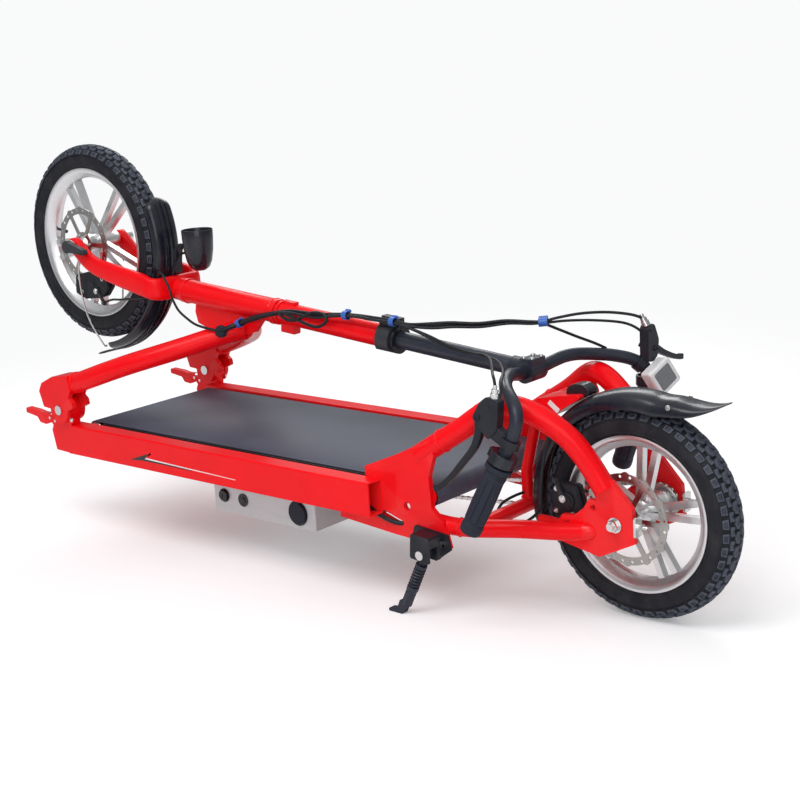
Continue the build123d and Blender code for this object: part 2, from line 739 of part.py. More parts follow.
def fender_section(radius):
    """The rounded channel of a fender, crowned in the middle, with turned-down sides."""
    with BuildSketch(mode=Mode.PRIVATE) as made:
        with BuildLine():
            ThreePointArc((-FENDER_HALF, radius - 16), (0, radius + 4), (FENDER_HALF, radius - 16))
            Line((FENDER_HALF, radius - 16), (FENDER_HALF - FENDER_T, radius - 16))
            ThreePointArc(
                (FENDER_HALF - FENDER_T, radius - 16), (0, radius + 4 - FENDER_T),
                (FENDER_T - FENDER_HALF, radius - 16),
            )
            Line((FENDER_T - FENDER_HALF, radius - 16), (-FENDER_HALF, radius - 16))
        make_face()
    return made.sketch


REAR_SECTION = fender_section(REAR_FENDER_R)
FRONT_SECTION = fender_section(FRONT_FENDER_R)

with BuildPart() as rear_fender:
    with BuildSketch(fender_plane(0, REAR_AXLE_Z, -14)):
        add(REAR_SECTION)
    revolve(axis=Axis((0, 0, REAR_AXLE_Z), (0, -1, 0)), revolution_arc=122)
    # The duckbill tail: it leaves the tyre and flicks up, narrowing to its tip.
    for tail_x, tail_z, tail_half in ((-58, 379, 33), (-112, 371, 27), (-166, 386, 9)):
        with BuildSketch(Plane.YZ.offset(tail_x)):
            with Locations((0, tail_z)):
                Rectangle(2 * tail_half, FENDER_T)
    loft()
    # The block that clamps the fender to the bridge, and its bottom lug on the cross tube.
    with BuildSketch(side_plane(20)):
        with BuildLine():
            Polyline(
                (196, 354), (184, 336), (140, 318), (150, 306), (92, 350), (96, 372), (132, 374),
                close=True,
            )
        make_face()
    extrude(amount=40)
    add(rear_frame.part, mode=Mode.SUBTRACT)

save(rear_fender, "rear_fender")

with BuildPart() as front_fender:
    with BuildSketch(fender_plane(FRONT_AXLE_X, FRONT_AXLE_Z, 155)):
        add(FRONT_SECTION)
    revolve(axis=Axis((FRONT_AXLE_X, 0, FRONT_AXLE_Z), (0, -1, 0)), revolution_arc=108)
    # Mud flap at the lower end.
    with BuildSketch(side_plane(26)):
        with BuildLine():
            Polyline((1318, 336), (1320, 341), (1362, 330), (1361, 326), close=True)
        make_face()
    extrude(amount=52)

save(front_fender, "front_fender")

# ---------------------------------------------------------------- kickstand
STAND_X, STAND_Z = 303.0, 114.0

with BuildPart() as kickstand_bracket:
    with BuildSketch(side_plane(PLATE_OUT + 5)) as bracket_base:
        with BuildLine():
            Polyline((262, 120), (268, 146), (340, 152), (346, 126), (320, 104), (290, 100), close=True)
        make_face()
        fillet(bracket_base.vertices(), 4)
    extrude(amount=5)
    with BuildSketch(side_plane(212)) as bracket_channel:
        with BuildLine():
            Polyline((284, 100), (282, 146), (322, 150), (326, 106), close=True)
        make_face()
        fillet(bracket_channel.vertices(), 4)
    extrude(amount=32)
    with BuildSketch(side_plane(208.5)):
        with BuildLine():
            Polyline((270, 90), (270, 127), (340, 127), (340, 90), close=True)
        make_face()
    extrude(amount=19, mode=Mode.SUBTRACT)
    with BuildSketch(side_plane(213)):
        with Locations((STAND_X, STAND_Z)):
            Circle(5)
    extrude(amount=34, mode=Mode.SUBTRACT)

save(kickstand_bracket, "kickstand_bracket")

with BuildPart() as kickstand_bolts:
    for bolt_x, bolt_z in ((330, 138), (276, 130)):
        with BuildSketch(side_plane(PLATE_OUT + 10)):
            with Locations((bolt_x, bolt_z)):
                RegularPolygon(6, 6)
        extrude(amount=5)
    with BuildSketch(side_plane(215)):
        with Locations((STAND_X, STAND_Z)):
            Circle(8)
    extrude(amount=3)
    with BuildSketch(side_plane(212)):
        with Locations((STAND_X, STAND_Z)):
            Circle(5)
    extrude(amount=30)

save(kickstand_bolts, "kickstand_bolts")

with BuildPart() as kickstand_leg:
    with BuildSketch(side_plane(204.5)):
        with Locations((STAND_X, STAND_Z)):
            Circle(11)
    extrude(amount=14)
    with BuildLine() as leg_path:
        Line((304.5, 197.5, 109), (346, 205, 17))
    with BuildSketch(Plane(origin=leg_path.line @ 0, z_dir=leg_path.line % 0)):
        Circle(7)
    sweep()
    with BuildLine() as sleeve_path:
        Line((334.5, 202.5, 43), (346, 205, 17))
    with BuildSketch(Plane(origin=sleeve_path.line @ 0, z_dir=sleeve_path.line % 0)):
        Circle(9.5)
    sweep()
    with BuildSketch(side_plane(213)) as hook:
        with BuildLine():
            Polyline((338, 22), (354, 26), (362, 8), (380, 6), (382, 0), (350, 0), close=True)
        make_face()
        fillet(hook.vertices(), 3)
    extrude(amount=13)
    with BuildSketch(side_plane(213)):
        with Locations((STAND_X, STAND_Z)):
            Circle(5 + RUN_FIT)
    extrude(amount=34, mode=Mode.SUBTRACT)

save(kickstand_leg, "kickstand_leg")

# ---------------------------------------------------------------- fold hinge and its latches
with BuildPart() as fold_hinge_pins:
    with BuildSketch(side_plane(ARM_OUT + 3)):
        with Locations((FOLD_X, FOLD_Z)):
            Circle(10)
    extrude(amount=2.9)
    with BuildSketch(side_plane(ARM_OUT + 0.1)):
        with Locations((FOLD_X, FOLD_Z)):
            Circle(FOLD_PIN_R)
    extrude(amount=ARM_OUT - ARM_IN + 0.2)
    with BuildSketch(side_plane(ARM_IN - 0.1)):
        with Locations((FOLD_X, FOLD_Z)):
            Circle(10)
    extrude(amount=2.9)
    with BuildSketch(side_plane(EYE_OUT)):
        with Locations((BOLT_X, BOLT_Z)):
            Circle(3)
    extrude(amount=EYE_OUT - EYE_IN)
    mirror(about=Plane.XZ)

save(fold_hinge_pins, "fold_hinge_pins")


def swing_bolt(side):
    """Eye bolt hanging in the casting's slot, with the lever's trunnion at its free end."""
    with BuildPart() as made:
        with BuildSketch(side_plane(side * 200 + 5)):
            with Locations((BOLT_X, BOLT_Z)):
                Circle(8)
            with Locations((TRUNNION_X, TRUNNION_Z)):
                Circle(8.5)
            with BuildLine():
                Polyline((1285, 221.5), (1308, 224), (1308, 233.5), (1285, 231.5), close=True)
            make_face()
            with Locations((BOLT_X, BOLT_Z)):
                Circle(3 + RUN_FIT, mode=Mode.SUBTRACT)
        extrude(amount=10)
        with BuildSketch(side_plane(side * 200 + 6.6)):
            with Locations((TRUNNION_X, TRUNNION_Z)):
                Circle(3)
        extrude(amount=13.2)
    return made


def clamp_lever(side):
    """Cam lever: two cheeks on the trunnion pin, a block and a tapering blade."""
    with BuildPart() as made:
        with BuildSketch(side_plane(side * 200 + 6.6)) as lever_shape:
            with BuildLine():
                Polyline(
                    (1305, 220), (1322, 214), (1342, 216), (1350, 227), (1387, 232), (1387, 243),
                    (1348, 241), (1330, 238), (1308, 238.5),
                    close=True,
                )
            make_face()
            fillet(lever_shape.vertices(), 3)
            with Locations((TRUNNION_X, TRUNNION_Z)):
                Circle(9)
                Circle(3 + RUN_FIT, mode=Mode.SUBTRACT)
        extrude(amount=13.2)
        with BuildSketch(side_plane(side * 200 + 5.1)):
            with Locations((TRUNNION_X, TRUNNION_Z)):
                Circle(9.5)
            with BuildLine():
                Polyline((1280, 200), (1308, 216), (1308, 242), (1280, 242), close=True)
            make_face()
        extrude(amount=10.2, mode=Mode.SUBTRACT)
    return made


left_swing_bolt = swing_bolt(1)
save(left_swing_bolt, "left_swing_bolt")
right_swing_bolt = swing_bolt(-1)
save(right_swing_bolt, "right_swing_bolt")
left_clamp_lever = clamp_lever(1)
save(left_clamp_lever, "left_clamp_lever")
right_clamp_lever = clamp_lever(-1)
save(right_clamp_lever, "right_clamp_lever")

# ---------------------------------------------------------------- front frame
ELBOW = [
    (1311, 290), (1300, 258), (1277, 256), (1277, 240), (1250, 230), (1223, 256), (1204, 265),
    (1206, 277), (1216, 284), (1206, 300), (1214, 331), (1262, 325), (1300, 308),
]
ARM_PATH = [
    (1246, 200, 303), (1200, 199, 316), (1141, 190, 336), (1080, 163, 357), (1030, 125, 373),
    (985, 82, 388), (945, 36, 402), (920, 0, 408),
]
ARM_R = 20.5
WEB = [(1046, 462), (1052, 436), (1046, 414), (1000, 398), (925, 396), (880, 408), (850, 440), (850, 455)]

with BuildPart() as front_frame:
    with BuildLine() as arm_path:
        Spline(*ARM_PATH)
    with BuildSketch(Plane(origin=arm_path.line @ 0, z_dir=arm_path.line % 0)):
        Circle(ARM_R)
    sweep()
    with BuildSketch(side_plane(ARM_OUT)) as elbow_shape:
        with BuildLine():
            Polyline(*ELBOW, close=True)
        make_face()
        fillet(elbow_shape.vertices(), 3)
        with Locations((FOLD_X, FOLD_Z)):
            Circle(FOLD_CHEEK_R)
    extrude(amount=ARM_OUT - ARM_IN)
    # Room between the cheeks for the deck's eye, and the slot the swing bolt passes through.
    with BuildSketch(side_plane(EYE_OUT + 1.2)):
        with Locations((FOLD_X, FOLD_Z)):
            Circle(52)
        with Locations((1300, 270)):
            Rectangle(60, 140)
    extrude(amount=EYE_OUT - EYE_IN + 2.2, mode=Mode.SUBTRACT)
    with BuildSketch(side_plane(ARM_OUT + 1)):
        with Locations((FOLD_X, FOLD_Z)):
            Circle(FOLD_PIN_R + RUN_FIT)
    extrude(amount=ARM_OUT - ARM_IN + 2, mode=Mode.SUBTRACT)
    # Sloping plate that ties the two arms together under the head tube.
    with BuildSketch(Plane(origin=(1046, 0, 366), x_dir=(-0.952, 0, 0.306), z_dir=(0.306, 0, 0.952))):
        with BuildLine():
            Polyline((0, 0), (0, 134), (62, 84), (134, 8), (134, 0), close=True)
        make_face()
    extrude(amount=7)
    mirror(about=Plane.XZ)
    with BuildSketch(side_plane(5)):
        with BuildLine():
            Polyline(*WEB, close=True)
        make_face()
    extrude(amount=10)
    with BuildSketch(steer_plane(0)):
        Circle(HEAD_R)
    extrude(amount=HEAD_LEN)
    for ring_at in (0, HEAD_LEN - 14):
        with BuildSketch(steer_plane(ring_at)):
            Circle(HEAD_R + 1.5)
        extrude(amount=14)
    with BuildSketch(steer_plane(-1)):
        Circle(19)
    extrude(amount=HEAD_LEN + 2, mode=Mode.SUBTRACT)

save(front_frame, "front_frame")

with BuildPart() as headset_bearings:
    for ring_at in (0, HEAD_LEN - 12):
        with BuildSketch(steer_plane(ring_at)):
            Circle(19)
            Circle(STEERER_R + RUN_FIT, mode=Mode.SUBTRACT)
        extrude(amount=12)

save(headset_bearings, "headset_bearings")

# ---------------------------------------------------------------- fork
LEG_IN, LEG_OUT = 51.0, 71.0
LEG_UPPER = [(1096, 506), (1150, 520), (1210, 530), (1290, 546), (1336, 580)]
LEG_LOWER = [(1100, 462), (1155, 474), (1232, 491), (1308, 514), (1362, 554)]

with BuildPart() as fork:
    with BuildSketch(side_plane(LEG_OUT)):
        with BuildLine():
            Spline(*LEG_UPPER)
            Line(LEG_UPPER[-1], LEG_LOWER[-1])
            Spline(*LEG_LOWER)
            Line(LEG_LOWER[0], LEG_UPPER[0])
        make_face()
        with Locations((FRONT_AXLE_X, FRONT_AXLE_Z)):
            Circle(17)
    extrude(amount=LEG_OUT - LEG_IN)
    fillet(fork.edges().group_by(Axis.Y)[-1], 6)
    with BuildSketch(side_plane(LEG_OUT + 1)):
        with Locations((FRONT_AXLE_X, FRONT_AXLE_Z)):
            Circle(6)
    extrude(amount=22, mode=Mode.SUBTRACT)
    mirror(about=Plane.XZ)
    with BuildSketch(side_plane(64)) as crown_shape:
        with BuildLine():
            Polyline((1096, 506), (1100, 462), (1119, 462), (1113, 508), close=True)
        make_face()
    extrude(amount=128)
    with BuildSketch(steer_plane(-26)):
        Circle(HEAD_R)
    extrude(amount=25.5)
    with BuildSketch(steer_plane(-20)):
        Circle(STEERER_R)
    extrude(amount=345)

save(fork, "fork")

# ---------------------------------------------------------------- front axle
with BuildPart() as front_axle:
    with BuildSketch(side_plane(86)):
        with Locations((FRONT_AXLE_X, FRONT_AXLE_Z)):
            Circle(6)
    extrude(amount=172)
    # Adjusting nut on the right, flange under the quick-release lever on the left.
    with BuildSketch(side_plane(-LEG_OUT)):
        with Locations((FRONT_AXLE_X, FRONT_AXLE_Z)):
            Circle(12)
    extrude(amount=15)
    with BuildSketch(side_plane(LEG_OUT + 4)):
        with Locations((FRONT_AXLE_X, FRONT_AXLE_Z)):
            Circle(13)
    extrude(amount=4)
    for face_y in (50.9, -47.1):
        with BuildSketch(side_plane(face_y)):
            with Locations((FRONT_AXLE_X, FRONT_AXLE_Z)):
                Circle(9)
        extrude(amount=3.8)

save(front_axle, "front_axle")

with BuildPart() as qr_lever:
    with BuildSketch(side_plane(LEG_OUT + 16)) as qr_shape:
        with BuildLine():
            Polyline(
                (1363, 562), (1362, 572), (1345, 578), (1322, 570), (1294, 562), (1292, 551),
                (1318, 553), (1345, 556),
                close=True,
            )
        make_face()
        fillet(qr_shape.vertices(), 4)
        with Locations((FRONT_AXLE_X, FRONT_AXLE_Z)):
            Circle(13)
            Circle(6 + RUN_FIT, mode=Mode.SUBTRACT)
    extrude(amount=11.9)
    with BuildSketch(side_plane(LEG_OUT + 16)):
        with Locations((FRONT_AXLE_X, FRONT_AXLE_Z)):
            Circle(11)
    extrude(amount=0.9)

save(qr_lever, "qr_lever")

# ---------------------------------------------------------------- steering column
LUG_AT, LUG_LEN = 285.0, 33.0

with BuildPart() as steering_column:
    with BuildSketch(steer_plane(HEAD_LEN + 1.5)):
        Circle(COLUMN_R)
    extrude(amount=COLUMN_END - HEAD_LEN - 1.5)
    with BuildSketch(steer_plane(HEAD_LEN + 1.5)):
        Circle(HEAD_R)
    extrude(amount=8)
    # The lug above the head tube, on the underside, and its small rib on top.
    with BuildSketch(steer_plane(LUG_AT)):
        with Locations((-24, 0)):
            RectangleRounded(24, 20, 3)
        with Locations((20, 0)):
            Rectangle(12, 12)
    extrude(amount=LUG_LEN)
    with BuildSketch(steer_plane(HEAD_LEN)):
        Circle(STEERER_R)
    extrude(amount=55, mode=Mode.SUBTRACT)
    with BuildSketch(steer_plane(335)):
        Circle(STEM_R + RUN_FIT)
    extrude(amount=COLUMN_END - 335, mode=Mode.SUBTRACT)

save(steering_column, "steering_column")

CLAMP_AT, CLAMP_END, CLAMP_R = 540.0, 582.0, 26.0
CAM_X, CAM_Y = 32.0, 14.0

with BuildPart() as column_clamp:
    with BuildSketch(steer_plane(CLAMP_AT)):
        Circle(CLAMP_R)
        with Locations((32, -1)):
            Rectangle(16, 15)
    extrude(amount=CLAMP_END - CLAMP_AT)
    with BuildSketch(steer_plane(CLAMP_AT)):
        Circle(COLUMN_R)
    extrude(amount=COLUMN_END - CLAMP_AT, mode=Mode.SUBTRACT)
    with BuildSketch(steer_plane(COLUMN_END)):
        Circle(STEM_R + 0.1)
        with Locations((28, 1)):
            Rectangle(24, 2)
    extrude(amount=CLAMP_END - COLUMN_END, mode=Mode.SUBTRACT)

save(column_clamp, "column_clamp")

with BuildPart() as column_clamp_lever:
    with BuildSketch(steer_plane(CLAMP_AT + 6)):
        with Locations((CAM_X, CAM_Y)):
            Circle(6.5)
        with BuildLine():
            lever_inner = CenterArc((0, 0), 27.5, 24, 98)
            lever_outer = CenterArc((0, 0), 33, 24, 98)
            Line(lever_inner @ 0, lever_outer @ 0)
            Line(lever_inner @ 1, lever_outer @ 1)
        make_face()
    extrude(amount=30)

save(column_clamp_lever, "column_clamp_lever")

# ---------------------------------------------------------------- stem and handlebar
with BuildPart() as stem_post:
    with BuildSketch(steer_plane(455)):
        Circle(STEM_R)
        Circle(13, mode=Mode.SUBTRACT)
    extrude(amount=861.5 - 455)

save(stem_post, "stem_post")

BAR_CENTRE = tuple(STEER.from_local_coords((0, 0, BAR_AT)))

with BuildPart() as bar_clamp:
    with BuildSketch(side_plane(22)):
        with Locations((BAR_CENTRE[0], BAR_CENTRE[2])):
            Circle(19)
    extrude(amount=44)
    with BuildSketch(steer_plane(835)):
        Circle(18.5)
    extrude(amount=27)
    with BuildSketch(side_plane(19)):
        with Locations((BAR_CENTRE[0] - 3, BAR_CENTRE[2] + 15)):
            Rectangle(26, 16)
    extrude(amount=38)
    with BuildSketch(side_plane(23)):
        with Locations((BAR_CENTRE[0], BAR_CENTRE[2])):
            Circle(BAR_R)
    extrude(amount=46, mode=Mode.SUBTRACT)
    with BuildSketch(steer_plane(830)):
        Circle(STEM_R)
    extrude(amount=32, mode=Mode.SUBTRACT)

save(bar_clamp, "bar_clamp")

GRIP_START = (133.0, 200.0, 293.0)
GRIP_DIR = (0.4059, 0.1717, -0.8977)
GRIP_LEN = 128.0


def along_grip(distance, side):
    """A point on the grip's axis, that far from where its straight part starts."""
    return tuple(
        (start + distance * part) * (side if index == 1 else 1)
        for index, (start, part) in enumerate(zip(GRIP_START, GRIP_DIR))
    )


def grip_plane(distance, side):
    direction = (GRIP_DIR[0], side * GRIP_DIR[1], GRIP_DIR[2])
    return Plane(origin=along_grip(distance, side), x_dir=(0.911, 0, 0.412), z_dir=direction)


with BuildPart() as handlebar:
    with BuildLine() as bar_path:
        bar_middle = Line((BAR_CENTRE[0], 0, BAR_CENTRE[2]), (BAR_CENTRE[0], 32, BAR_CENTRE[2]))
        bar_bend = Spline(
            bar_middle @ 1, (190, 85, 411), (160, 140, 424), (122, 180, 408), (108, 189, 372),
            (112, 191, 340), GRIP_START,
            tangents=((0, 1, 0), GRIP_DIR),
        )
        Line(bar_bend @ 1, along_grip(GRIP_LEN, 1))
    with BuildSketch(Plane(origin=bar_path.line @ 0, z_dir=(0, 1, 0))):
        Circle(BAR_R)
    sweep(path=bar_path.line)
    mirror(about=Plane.XZ)

save(handlebar, "handlebar")


def grip(side, bore_r):
    """A rubber grip with a flange at its inner end."""
    with BuildPart() as made:
        with BuildSketch(grip_plane(1, side)):
            Circle(GRIP_R)
        extrude(amount=GRIP_LEN - 1)
        with BuildSketch(grip_plane(1, side)):
            Circle(GRIP_R + 4)
        extrude(amount=8)
        with BuildSketch(grip_plane(0, side)):
            Circle(bore_r)
        extrude(amount=GRIP_LEN + 2, mode=Mode.SUBTRACT)
    return made


left_grip = grip(1, BAR_R)
save(left_grip, "left_grip")
throttle_grip = grip(-1, BAR_R + RUN_FIT)
save(throttle_grip, "throttle_grip")

# ---------------------------------------------------------------- brake levers
LEFT_PIVOT = (172.0, 366.0)
LEVER_HALF = 6.0
BODY_SLOT_HALF = 7.0
LEFT_BODY = [(150, 402), (128, 398), (132, 350), (150, 330), (165, 345), (184, 368), (165, 392)]
LEFT_LEVER = [
    (166, 372), (178, 372), (194, 344), (232, 298), (280, 240), (276, 230), (266, 231), (222, 288),
    (180, 334), (164, 360),
]

with BuildPart() as left_brake_body:
    with BuildSketch(side_plane(204)) as body_shape:
        with BuildLine():
            Polyline(*LEFT_BODY, close=True)
        make_face()
        fillet(body_shape.vertices(), 5)
    extrude(amount=18)
    with BuildSketch(Plane(origin=(114.6, 192, 334), x_dir=(0.9, 0, 0.4), z_dir=(0.35, 0.16, -0.92))):
        Circle(16)
    extrude(amount=12)
    with BuildSketch(side_plane(204)):
        with BuildLine():
            Polyline((118, 340), (140, 352), (150, 332), (124, 324), close=True)
        make_face()
    extrude(amount=18)
    with BuildSketch(side_plane(195 + BODY_SLOT_HALF)):
        with BuildLine():
            Polyline((150, 384), (190, 392), (200, 330), (158, 330), close=True)
        make_face()
    extrude(amount=2 * BODY_SLOT_HALF, mode=Mode.SUBTRACT)
    with BuildSketch(side_plane(204)):
        with Locations(LEFT_PIVOT):
            Circle(3)
    extrude(amount=18)
    add(handlebar.part, mode=Mode.SUBTRACT)

save(left_brake_body, "left_brake_body")

with BuildPart() as left_brake_lever:
    with BuildSketch(side_plane(195 + LEVER_HALF)) as lever_outline:
        with BuildLine():
            Polyline(*LEFT_LEVER, close=True)
        make_face()
        fillet(lever_outline.vertices(), 3)
        with Locations(LEFT_PIVOT):
            Circle(3 + RUN_FIT, mode=Mode.SUBTRACT)
    extrude(amount=2 * LEVER_HALF)

save(left_brake_lever, "left_brake_lever")

RIGHT_PIVOT = (-199.0, 406.0)

with BuildPart() as right_brake_body:
    with BuildSketch(Plane.YZ.offset(110)) as right_shape:
        with BuildLine():
            Polyline((-176, 384), (-176, 446), (-196, 452), (-212, 420), (-206, 388), (-192, 382), close=True)
        make_face()
        fillet(right_shape.vertices(), 5)
    extrude(amount=-18)
    with BuildSketch(Plane.XY.offset(384)):
        with Locations((113, -187)):
            Circle(17)
    extrude(amount=14)
    with BuildSketch(Plane.YZ.offset(108)):
        with BuildLine():
            Polyline((-190, 426), (-190, 388), (-220, 380), (-220, 430), close=True)
        make_face()
    extrude(amount=-14, mode=Mode.SUBTRACT)
    with BuildSketch(Plane.YZ.offset(110)):
        with Locations(RIGHT_PIVOT):
            Circle(3)
    extrude(amount=-18)
    add(handlebar.part, mode=Mode.SUBTRACT)

save(right_brake_body, "right_brake_body")

with BuildPart() as right_brake_lever:
    with BuildSketch(Plane.YZ.offset(107)) as right_lever_shape:
        with BuildLine():
            Polyline(
                (-193, 412), (-205, 413), (-240, 396), (-300, 377), (-304, 368), (-296, 364),
                (-236, 382), (-204, 396), (-193, 400),
                close=True,
            )
        make_face()
        fillet(right_lever_shape.vertices(), 3)
        with Locations(RIGHT_PIVOT):
            Circle(3 + RUN_FIT, mode=Mode.SUBTRACT)
    extrude(amount=-12)

save(right_brake_lever, "right_brake_lever")

# ---------------------------------------------------------------- display and headlamp
DISPLAY = Plane(origin=(77, -187, 362), x_dir=(0.3, 0.9, 0.25), z_dir=(-0.93, 0.32, 0.1))

with BuildPart() as display:
    with BuildSketch(DISPLAY):
        RectangleRounded(48, 46, 9, rotation=45)
    extrude(amount=14)
    with BuildSketch(DISPLAY.offset(14)):
        Circle(17)
    extrude(amount=2)
    with BuildSketch(DISPLAY):
        with Locations((0, 14)):
            RectangleRounded(26, 22, 4)
    extrude(amount=-36)
    add(handlebar.part, mode=Mode.SUBTRACT)

save(display, "display")

LAMP_X, LAMP_LOW, LAMP_TOP, LAMP_R = 1030.0, 522.0, 604.0, 38.0

with BuildPart() as headlamp:
    with BuildSketch(Plane.XZ):
        with BuildLine():
            Polyline((LAMP_X, LAMP_LOW), (LAMP_X, LAMP_TOP - 6), (LAMP_X + 30, LAMP_TOP - 6))
            Line((LAMP_X + 30, LAMP_TOP - 6), (LAMP_X + 30, LAMP_TOP))
            Line((LAMP_X + 30, LAMP_TOP), (LAMP_X + LAMP_R, LAMP_TOP))
            Spline((LAMP_X + LAMP_R, LAMP_TOP), (LAMP_X + 31, 556), (LAMP_X, LAMP_LOW))
        make_face()
    revolve(axis=Axis((LAMP_X, 0, LAMP_LOW), (0, 0, 1)))
    with BuildSketch(side_plane(9)):
        with BuildLine():
            Polyline((1050, 566), (1092, 566), (1097, 512), (1109, 512), (1104, 578), (1060, 580), close=True)
        make_face()
    extrude(amount=18)

save(headlamp, "headlamp")
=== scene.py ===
import json
import math

import bmesh
import bpy
from mathutils import Matrix, Vector


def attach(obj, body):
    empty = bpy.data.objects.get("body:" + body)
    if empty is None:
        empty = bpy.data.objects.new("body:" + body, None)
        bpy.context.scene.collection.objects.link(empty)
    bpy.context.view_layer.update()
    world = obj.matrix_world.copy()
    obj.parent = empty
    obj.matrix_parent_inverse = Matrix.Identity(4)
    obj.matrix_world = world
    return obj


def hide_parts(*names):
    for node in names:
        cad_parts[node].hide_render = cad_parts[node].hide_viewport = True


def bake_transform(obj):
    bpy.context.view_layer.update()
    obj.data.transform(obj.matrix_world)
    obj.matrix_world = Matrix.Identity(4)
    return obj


# The looks of the folding walking-belt bike, built over the CAD frame.
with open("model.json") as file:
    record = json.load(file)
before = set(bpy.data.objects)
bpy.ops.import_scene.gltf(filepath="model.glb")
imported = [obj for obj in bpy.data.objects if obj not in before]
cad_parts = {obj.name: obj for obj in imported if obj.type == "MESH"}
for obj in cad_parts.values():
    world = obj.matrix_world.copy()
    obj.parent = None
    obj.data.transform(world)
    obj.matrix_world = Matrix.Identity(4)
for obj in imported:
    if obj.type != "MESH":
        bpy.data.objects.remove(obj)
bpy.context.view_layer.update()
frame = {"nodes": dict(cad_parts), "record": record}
scene = bpy.context.scene

# Design points are in millimetres from the ground under the rear axle, as in the CAD source.
ORIGIN = Vector((768.0, 0.0, 223.05))
REAR_AXLE = Vector((0.0, 0.0, 181.0))
FRONT_AXLE = Vector((1349.0, 0.0, 566.0))
HEAD_LOW = Vector((1082.0, 0.0, 478.0))
TILT = math.radians(5.32)  # of the folded steering axis to the ground
STEER_Z = Vector((-math.cos(TILT), 0.0, -math.sin(TILT)))
STEER_X = Vector((-math.sin(TILT), 0.0, math.cos(TILT)))
Y_AXIS = Vector((0.0, 1.0, 0.0))
MM = 0.001
TAU = 2 * math.pi


def to_m(point):
    return (Vector(point) - ORIGIN) * MM


def steer(x, y, z):
    """A point given in the steering axis's own directions, from the head tube's lower end."""
    return HEAD_LOW + STEER_X * x + Y_AXIS * y + STEER_Z * z


# ------------------------------------------------------------------ materials
def wire(tree, node, inputs):
    """Set a node's inputs; one that is given another node's output is linked to it."""
    for key, value in inputs.items():
        if isinstance(value, bpy.types.NodeSocket):
            tree.links.new(value, node.inputs[key])
        else:
            node.inputs[key].default_value = value


def add_node(tree, kind, inputs=None, **values):
    made = tree.nodes.new("ShaderNode" + kind)
    for key, value in values.items():
        setattr(made, key, value)
    wire(tree, made, inputs or {})
    return made


def spread(tree, source, low, high, to_low, to_high):
    """Map a value's range from low..high to another one."""
    return add_node(tree, "MapRange", {"From Min": low, "From Max": high, "To Min": to_low,
                                       "To Max": to_high, "Value": source}).outputs[0]


def blend_colour(tree, share, below, above):
    mix = add_node(tree, "Mix", data_type="RGBA")
    wire(tree, mix, {"B": (*above, 1), "Factor": share, "A": below})
    return mix.outputs["Result"]


def surface(name, colour, rough, metal=0.0, vary=0.12, scale=25.0, grain=900.0, bump=0.05,
            coat=0.0, wear=0.0, wear_colour=(0.5, 0.5, 0.5), stretch=(1, 1, 1), grime=0.0,
            spec=0.5, transmit=0.0, rough_vary=0.08):
    """A node material with cloudy colour and roughness, fine bump, grime and worn edges."""
    mat = bpy.data.materials.new(name)
    mat.use_nodes = True
    tree = mat.node_tree
    coords = add_node(tree, "TexCoord")
    spot = add_node(tree, "Mapping", {"Scale": stretch, "Vector": coords.outputs["Object"]}).outputs[0]
    cloud = add_node(tree, "TexNoise", {"Scale": scale, "Detail": 6, "Roughness": 0.6,
                                        "Vector": spot}).outputs["Fac"]
    fine = add_node(tree, "TexNoise", {"Scale": grain, "Detail": 3, "Vector": spot}).outputs["Fac"]
    tint = spread(tree, cloud, 0.3, 0.7, 1 - vary, 1 + vary)
    base = add_node(tree, "HueSaturation", {"Color": (*colour, 1), "Value": tint}).outputs["Color"]
    if grime:
        base = blend_colour(tree, spread(tree, cloud, 0.45, 0.75, 0.0, grime), base, DUST)
    if wear:
        geometry = add_node(tree, "NewGeometry")
        edge = spread(tree, geometry.outputs["Pointiness"], 0.53, 0.60, 0.0, wear)
        patch = add_node(tree, "Math", {0: edge, 1: fine}, operation="MULTIPLY")
        base = blend_colour(tree, patch.outputs[0], base, wear_colour)
    gloss = spread(tree, cloud, 0.3, 0.7, max(0.02, rough - rough_vary), min(1.0, rough + rough_vary))
    relief = add_node(tree, "Bump", {"Strength": bump, "Distance": 0.0006, "Height": fine})
    wire(tree, tree.nodes["Principled BSDF"], {
        "Base Color": base, "Roughness": gloss, "Normal": relief.outputs[0], "Metallic": metal,
        "Specular IOR Level": spec, "Coat Weight": coat, "Coat Roughness": 0.08,
        "Transmission Weight": transmit})
    return mat


